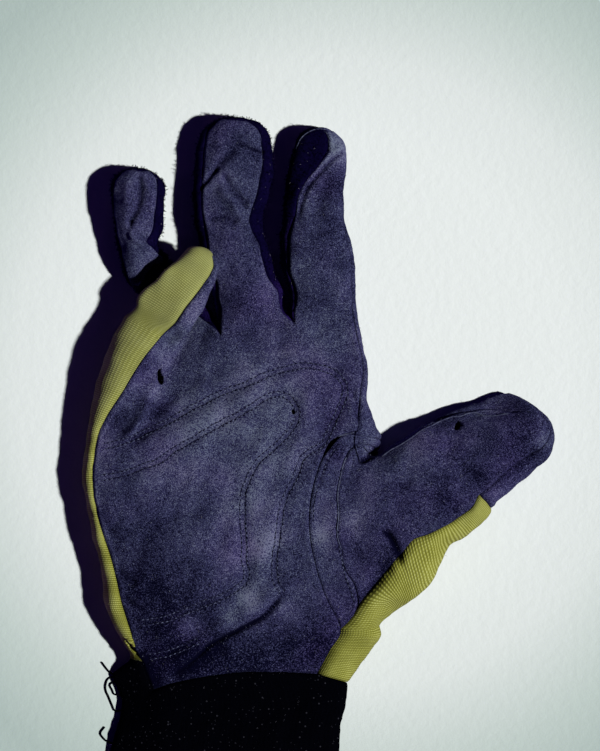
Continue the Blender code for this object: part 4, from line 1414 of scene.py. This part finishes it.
def cloth_place(tree):
    """How far across and how far along its own piece of cloth the spot lies, mm."""
    cloth = add_node(tree, "ShaderNodeUVMap", uv_map="cloth").outputs[0]
    return add_node(tree, "ShaderNodeSeparateXYZ", {0: cloth}).outputs[:2]


def wave_of(tree, run, pitch, *wavers):
    """A wave from 0 to 1 and back every pitch mm of the run."""
    turn = sum_of(tree, (run, 2 * math.pi / pitch), *wavers)
    return sum_of(tree, 0.5, (math_of(tree, "SINE", turn), 0.5))


def noise_of(tree, place, size, detail=3.0, rough=0.6, distort=0.0):
    """Cloudy noise whose clouds are about size mm across."""
    links = {
        "Vector": place, "Scale": 1000 / size, "Detail": detail, "Roughness": rough, "Distortion": distort,
    }
    return add_node(tree, "ShaderNodeTexNoise", links).outputs["Fac"]


def specks_of(tree, place, spacing, radius, share):
    """1 in small round specks spacing mm apart, of which only a share is kept."""
    cells = add_node(tree, "ShaderNodeTexVoronoi", {"Vector": place, "Scale": 1000 / spacing})
    near = math_of(tree, "LESS_THAN", cells.outputs["Distance"], radius / spacing)
    lot = add_node(tree, "ShaderNodeSeparateColor", {0: cells.outputs["Color"]}).outputs[0]
    kept = math_of(tree, "LESS_THAN", lot, share)
    return math_of(tree, "MULTIPLY", near, kept)


def ramp_of(tree, value, stops):
    """Colours by value: stops are (place, red, green, blue)."""
    node = add_node(tree, "ShaderNodeValToRGB", {0: value})
    band = node.color_ramp.elements
    while len(band) < len(stops):
        band.new(0.5)
    for element, (place, *colour) in zip(band, stops):
        element.position = place
        element.color = (*colour, 1)
    return node.outputs["Color"]


def mix_of(tree, share, first, second):
    """The first colour where share is 0 and the second where it is 1."""
    links = {0: share, 6: first if not isinstance(first, tuple) else (*first, 1)}
    links[7] = second if not isinstance(second, tuple) else (*second, 1)
    return add_node(tree, "ShaderNodeMix", links, data_type="RGBA").outputs[2]


def attribute_of(tree, name):
    return add_node(tree, "ShaderNodeAttribute", attribute_name=name).outputs["Fac"]


def new_finish(name, roughness, sheen=0.0, sheen_tint=(1, 1, 1), shine=0.2):
    """A new material with its shader, whose even values are set on the shader itself."""
    material = bpy.data.materials.new(name)
    material.use_nodes = True
    tree = material.node_tree
    shader = tree.nodes["Principled BSDF"]
    shader.inputs["Roughness"].default_value = roughness
    shader.inputs["Specular IOR Level"].default_value = shine
    shader.inputs["Sheen Weight"].default_value = sheen
    shader.inputs["Sheen Roughness"].default_value = 0.5
    shader.inputs["Sheen Tint"].default_value = (*sheen_tint, 1)
    return material, tree, shader


def set_bump(tree, shader, height, depth, strength):
    """Bump of depth mm where height goes from 0 to 1."""
    links = {"Height": height, "Distance": depth * MM, "Strength": strength}
    tree.links.new(add_node(tree, "ShaderNodeBump", links).outputs["Normal"], shader.inputs["Normal"])


def suede_finish():
    """Slate suede: a fine mottled nap, greyer and paler with scuffs and painted light, darker and more violet
    in folds with painted shade.
    """
    material, tree, shader = new_finish("suede", 0.95, 0.015, (0.45, 0.5, 0.95), 0.01)
    place = place_of(tree)
    grain = noise_of(tree, place, 0.36, 1.0, 0.6)
    nap = noise_of(tree, place, 1.3, 3.0, 0.6)
    cloud = noise_of(tree, place, 11, 4.0, 0.55, 0.3)
    tint = noise_of(tree, place, 22, 2.0, 0.5)
    wear_and_painted_light, dark, edge = (attribute_of(tree, name) for name in ("wear_and_painted_light", "dark", "edge"))
    fine = math_of(tree, "MULTIPLY", noise_of(tree, place, 0.62, 2.0), 4.6)
    flecks = math_of(tree, "ADD", -1.7, fine, True)
    rough_wear_and_light = math_of(tree, "MULTIPLY", wear_and_painted_light, sum_of(tree, 0.30, (flecks, 1.1)))
    # The tone rises with scuffs and painted light, falls with painted shade in folds, and rises with painted
    # crest highlights
    tone = sum_of(
        tree, -1.52,
        (grain, 2.44), (nap, 0.70), (cloud, 0.85), (rough_wear_and_light, 0.40), (dark, -0.40), (edge, -0.06),
    )
    stops = (
        (0.0, 0.0012, 0.0012, 0.0080),
        (0.13, 0.0082, 0.0083, 0.0260),
        (0.27, 0.0155, 0.0160, 0.0450),
        (0.5, 0.0280, 0.0295, 0.0800),
        (0.75, 0.0530, 0.0590, 0.1200),
        (1.0, 0.1240, 0.1450, 0.2050),
    )
    colour = ramp_of(tree, tone, stops)
    violet = math_of(tree, "ADD", -1.2, math_of(tree, "MULTIPLY", tint, 2.8), True)
    links = {0: violet, 6: colour, 7: (1.12, 0.88, 1.12, 1)}
    colour = add_node(tree, "ShaderNodeMix", links, data_type="RGBA", blend_type="MULTIPLY").outputs[2]
    dust = specks_of(tree, place, 1.7, 0.17, 0.16)
    colour = mix_of(tree, math_of(tree, "MULTIPLY", dust, 0.55), colour, (0.22, 0.24, 0.30))
    tree.links.new(colour, shader.inputs["Base Color"])
    set_bump(tree, shader, sum_of(tree, (grain, 0.9), (nap, 0.8)), 0.30, 0.7)
    return material


def knit_finish():
    """Fine ribbed knit in yellow-green, greyer in patches towards the fingertips, with painted light and
    painted shade.
    """
    material, tree, shader = new_finish("knit", 0.95, 0.06, (0.9, 0.95, 0.5), 0.03)
    across, lengthways = cloth_place(tree)
    place = place_of(tree)
    waver = noise_of(tree, place, 6, 2.0)
    row_height = wave_of(tree, lengthways, KNIT_ROW, (waver, 3.0))
    wale_height = wave_of(tree, across, KNIT_WALE, (waver, 3.0))
    loops = math_of(tree, "MULTIPLY", row_height, sum_of(tree, 0.45, (wale_height, 0.55)))
    yarn = noise_of(tree, place, 0.35, 2.0)
    fade = noise_of(tree, place, 14, 3.0, 0.6)
    dark, edge, wear_and_painted_light = (attribute_of(tree, name) for name in ("dark", "edge", "wear_and_painted_light"))
    # Painted light from the wear table raises the tone; painted shade in folds lowers it
    tone = sum_of(
        tree, -0.12, (loops, 0.62), (yarn, 0.5), (fade, 0.5), (wear_and_painted_light, 0.16), (dark, -0.42), (edge, -0.14)
    )
    stops = (
        (0.0, 0.045, 0.045, 0.006),
        (0.35, 0.158, 0.160, 0.022),
        (0.65, 0.285, 0.292, 0.058),
        (1.0, 0.445, 0.462, 0.160),
    )
    colour = ramp_of(tree, tone, stops)
    tipwards = add_node(tree, "ShaderNodeSeparateXYZ", {0: place}).outputs[1]
    patches = sum_of(tree, -0.7, (noise_of(tree, place, 19, 2.0), 2.0), (tipwards, 13.0))
    rubbed = math_of(tree, "MULTIPLY", patches, 0.5, True)
    colour = mix_of(tree, rubbed, colour, mix_of(tree, 0.5, colour, (0.24, 0.26, 0.16)))
    tree.links.new(colour, shader.inputs["Base Color"])
    set_bump(tree, shader, sum_of(tree, (loops, 1.0), (yarn, 0.3)), 0.24, 0.8)
    return material


def gusset_finish():
    """Brushed black cloth with a violet cast and small pale specks, and painted violet fill light in the
    crotches.
    """
    material, tree, shader = new_finish("gusset_cloth", 1.0, 0.0, (0.5, 0.4, 0.9), 0.0)
    place = place_of(tree)
    pile = noise_of(tree, place, 0.8, 3.0, 0.7)
    cloud = noise_of(tree, place, 7, 3.0)
    stops = ((0.0, 0.0008, 0.0003, 0.0065), (0.6, 0.0030, 0.0018, 0.0200), (1.0, 0.009, 0.006, 0.034))
    colour = ramp_of(tree, sum_of(tree, -0.6, (pile, 1.3), (cloud, 0.8)), stops)
    # Painted fill light: paler violet in the shaded crotches
    painted_fill = math_of(tree, "MULTIPLY", attribute_of(tree, "wear_and_painted_light"), sum_of(tree, 0.4, (pile, 0.9)), True)
    colour = mix_of(tree, painted_fill, colour, (0.024, 0.012, 0.100))
    colour = mix_of(tree, specks_of(tree, place, 1.9, 0.15, 0.25), colour, (0.07, 0.07, 0.11))
    tree.links.new(colour, shader.inputs["Base Color"])
    set_bump(tree, shader, pile, 0.5, 0.9)
    return material


def cuff_finish():
    """Black ribbed cuff, dusted with tiny pale specks."""
    material, tree, shader = new_finish("cuff_knit", 1.0, 0.0, (0.6, 0.6, 0.8), 0.0)
    across, lengthways = cloth_place(tree)
    place = place_of(tree)
    rib = wave_of(tree, across, CUFF_RIB)
    loop = wave_of(tree, lengthways, CUFF_LOOP)
    pile = noise_of(tree, place, 0.6, 2.0)
    stops = ((0.0, 0.0003, 0.0003, 0.0008), (0.6, 0.0009, 0.0010, 0.0024), (1.0, 0.003, 0.003, 0.007))
    colour = ramp_of(tree, sum_of(tree, -0.2, (rib, 0.10), (loop, 0.06), (pile, 0.9)), stops)
    colour = mix_of(tree, specks_of(tree, place, 1.3, 0.24, 0.30), colour, (0.011, 0.011, 0.015))
    colour = mix_of(tree, specks_of(tree, place, 2.4, 0.32, 0.50), colour, (0.022, 0.022, 0.029))
    tree.links.new(colour, shader.inputs["Base Color"])
    set_bump(tree, shader, sum_of(tree, (rib, 0.12), (loop, 0.10), (pile, 0.9)), 0.4, 0.8)
    return material


def thread_finish(name, low, high, size):
    """Spun thread or lint: two close shades in a fine noise."""
    material, tree, shader = new_finish(name, 0.9, 0.0, (1, 1, 1), 0.0)
    place = place_of(tree)
    colour = ramp_of(tree, noise_of(tree, place, size, 2.0), ((0.35, *low), (0.65, *high)))
    tree.links.new(colour, shader.inputs["Base Color"])
    return material


def seen_straight(tree):
    """1 for rays from the camera, also by way of a reflection or through glass."""
    rays = add_node(tree, "ShaderNodeLightPath").outputs
    seen = math_of(tree, "ADD", rays["Is Camera Ray"], rays["Is Glossy Ray"], True)
    return math_of(tree, "ADD", seen, rays["Is Transmission Ray"], True)


def floor_finish():
    """Pale matt floor, a little darker far from the glove as painted falloff of the light, with a faint
    uneven surface.
    """
    material, tree, shader = new_finish("floor", 0.9, shine=0.0)
    place = place_of(tree)
    away = add_node(tree, "ShaderNodeVectorMath", {0: place, 1: FLOOR_MIDDLE}, operation="DISTANCE")
    reach = math_of(tree, "DIVIDE", away.outputs["Value"], FLOOR_FADE)
    # Pale in the middle, darker outwards: painted falloff of the light
    stops = (
        (0.0, 0.82, 0.860, 0.845),
        (0.45, 0.80, 0.845, 0.830),
        (0.60, 0.74, 0.790, 0.772),
        (0.78, 0.53, 0.615, 0.580),
        (0.90, 0.42, 0.510, 0.480),
    )
    colour = mix_of(tree, seen_straight(tree), FLOOR_BOUNCE, ramp_of(tree, reach, stops))
    tree.links.new(colour, shader.inputs["Base Color"])
    set_bump(tree, shader, noise_of(tree, place, 3.5, 3.0), 0.35, 0.5)
    return material


def sun(name, azimuth, elevation, strength, colour, softness):
    """Light from far away."""
    lamp = bpy.data.lights.new(name, "SUN")
    lamp.energy = strength
    lamp.color = colour
    lamp.angle = math.radians(softness)
    holder = bpy.data.objects.new(name, lamp)
    a, e = math.radians(azimuth), math.radians(elevation)
    way = Vector((math.cos(a) * math.cos(e), math.sin(a) * math.cos(e), math.sin(e)))
    holder.rotation_mode = "QUATERNION"
    holder.rotation_quaternion = way.to_track_quat("Z", "Y")
    holder.location = way
    bpy.context.scene.collection.objects.link(holder)


def set_stage():
    """Camera straight above, floor, one key light from the right and three weak violet fills, low down."""
    scene = bpy.context.scene
    scene.view_settings.view_transform = "Standard"
    camera = bpy.data.objects.new("camera", bpy.data.cameras.new("camera"))
    camera.data.lens = VIEW_LENS
    camera.data.clip_end = 50
    camera.location = (*VIEW_MIDDLE, VIEW_HEIGHT)
    scene.collection.objects.link(camera)
    scene.camera = camera
    mesh = bmesh.new()
    bmesh.ops.create_grid(mesh, x_segments=1, y_segments=1, size=6)
    data = bpy.data.meshes.new("floor")
    mesh.to_mesh(data)
    mesh.free()
    data.materials.append(floor_finish())
    floor = bpy.data.objects.new("floor", data)
    scene.collection.objects.link(floor)
    for name, light in LIGHTS.items():
        sun(name, *light)
    world = bpy.data.worlds.new("world")
    scene.world = world
    world.use_nodes = True
    tree = world.node_tree
    colour = mix_of(tree, seen_straight(tree), SKY_LIGHT, SKY_SEEN)
    tree.links.new(colour, tree.nodes["Background"].inputs["Color"])


def lay_cords(cut, suedes, materials):
    """The fingertip's piping, the cords in the suede's seams with cords of painted shadow, and the cuff's
    loose threads.
    """
    path = laid_on(surface_of([cut["middle_index_side"]]), smooth_line(INDEX_PIPING), 0.15)
    piping, faces = tubes(path[None], PIPING_RADIUS, CORD_SIDES)
    new_piece("index_piping", piping, faces, materials["piping"])
    ground, rims = surface_of(suedes), cut_edges(suedes)
    for name, (finish, radius, keeps, points) in SEAM_CORDS.items():
        line = smooth_line(points, CORD_STEP)
        path = laid_on(ground, np.column_stack([line, np.full(len(line), CORD_DROP)]), 0.0)
        path = kept_to(rims, path) if keeps else path
        cord, faces = tubes(path[None], radius, CORD_SIDES)
        new_piece(name, cord, faces, materials[finish])
    for name, points in THREADS.items():
        loose, faces = tubes(smooth_line(points, CORD_STEP)[None], THREAD_RADIUS, CORD_SIDES)
        new_piece(name, loose, faces, materials["black_thread"])


def build():
    """The stage, the finishes, every cut piece, and then what lies on them."""
    set_stage()
    materials = {
        "suede": suede_finish(),
        "knit": knit_finish(),
        "gusset_cloth": gusset_finish(),
        "cuff_knit": cuff_finish(),
    }
    for name, (low, high, size) in THREAD_FINISHES.items():
        materials[name] = thread_finish(name, low, high, size)
    skin = worn_skin()
    normals = point_normals(skin[0], skin[1])
    cut = {name: cut_piece(name, skin, normals, materials) for name in PIECES}
    front = ("palm_suede", "thumb_joining_strip", "thumb_suede", "thumb_tip_cap")
    sew(surface_of([cut[name] for name in front]), materials)
    cloths = {
        "sides": [cut[name] for name in ("little_ring_side", "ring_middle_side", "middle_index_side")],
        "suedes": [cut[name] for name in (*front, "index_suede_side")],
        "knits": [cut["back_knit"], cut["thumb_knit"]],
        "cuff": [cut["wrist_cuff"]],
    }
    for table, scatter in ((FIBRES, fuzz), (LINT, lint)):
        for name, (cloth, count, length, radius, seed, finish, slot) in table.items():
            scatter(name, cloths[cloth], count, length, radius, seed, materials[finish], slot)
    lay_cords(cut, cloths["suedes"], materials)


build()
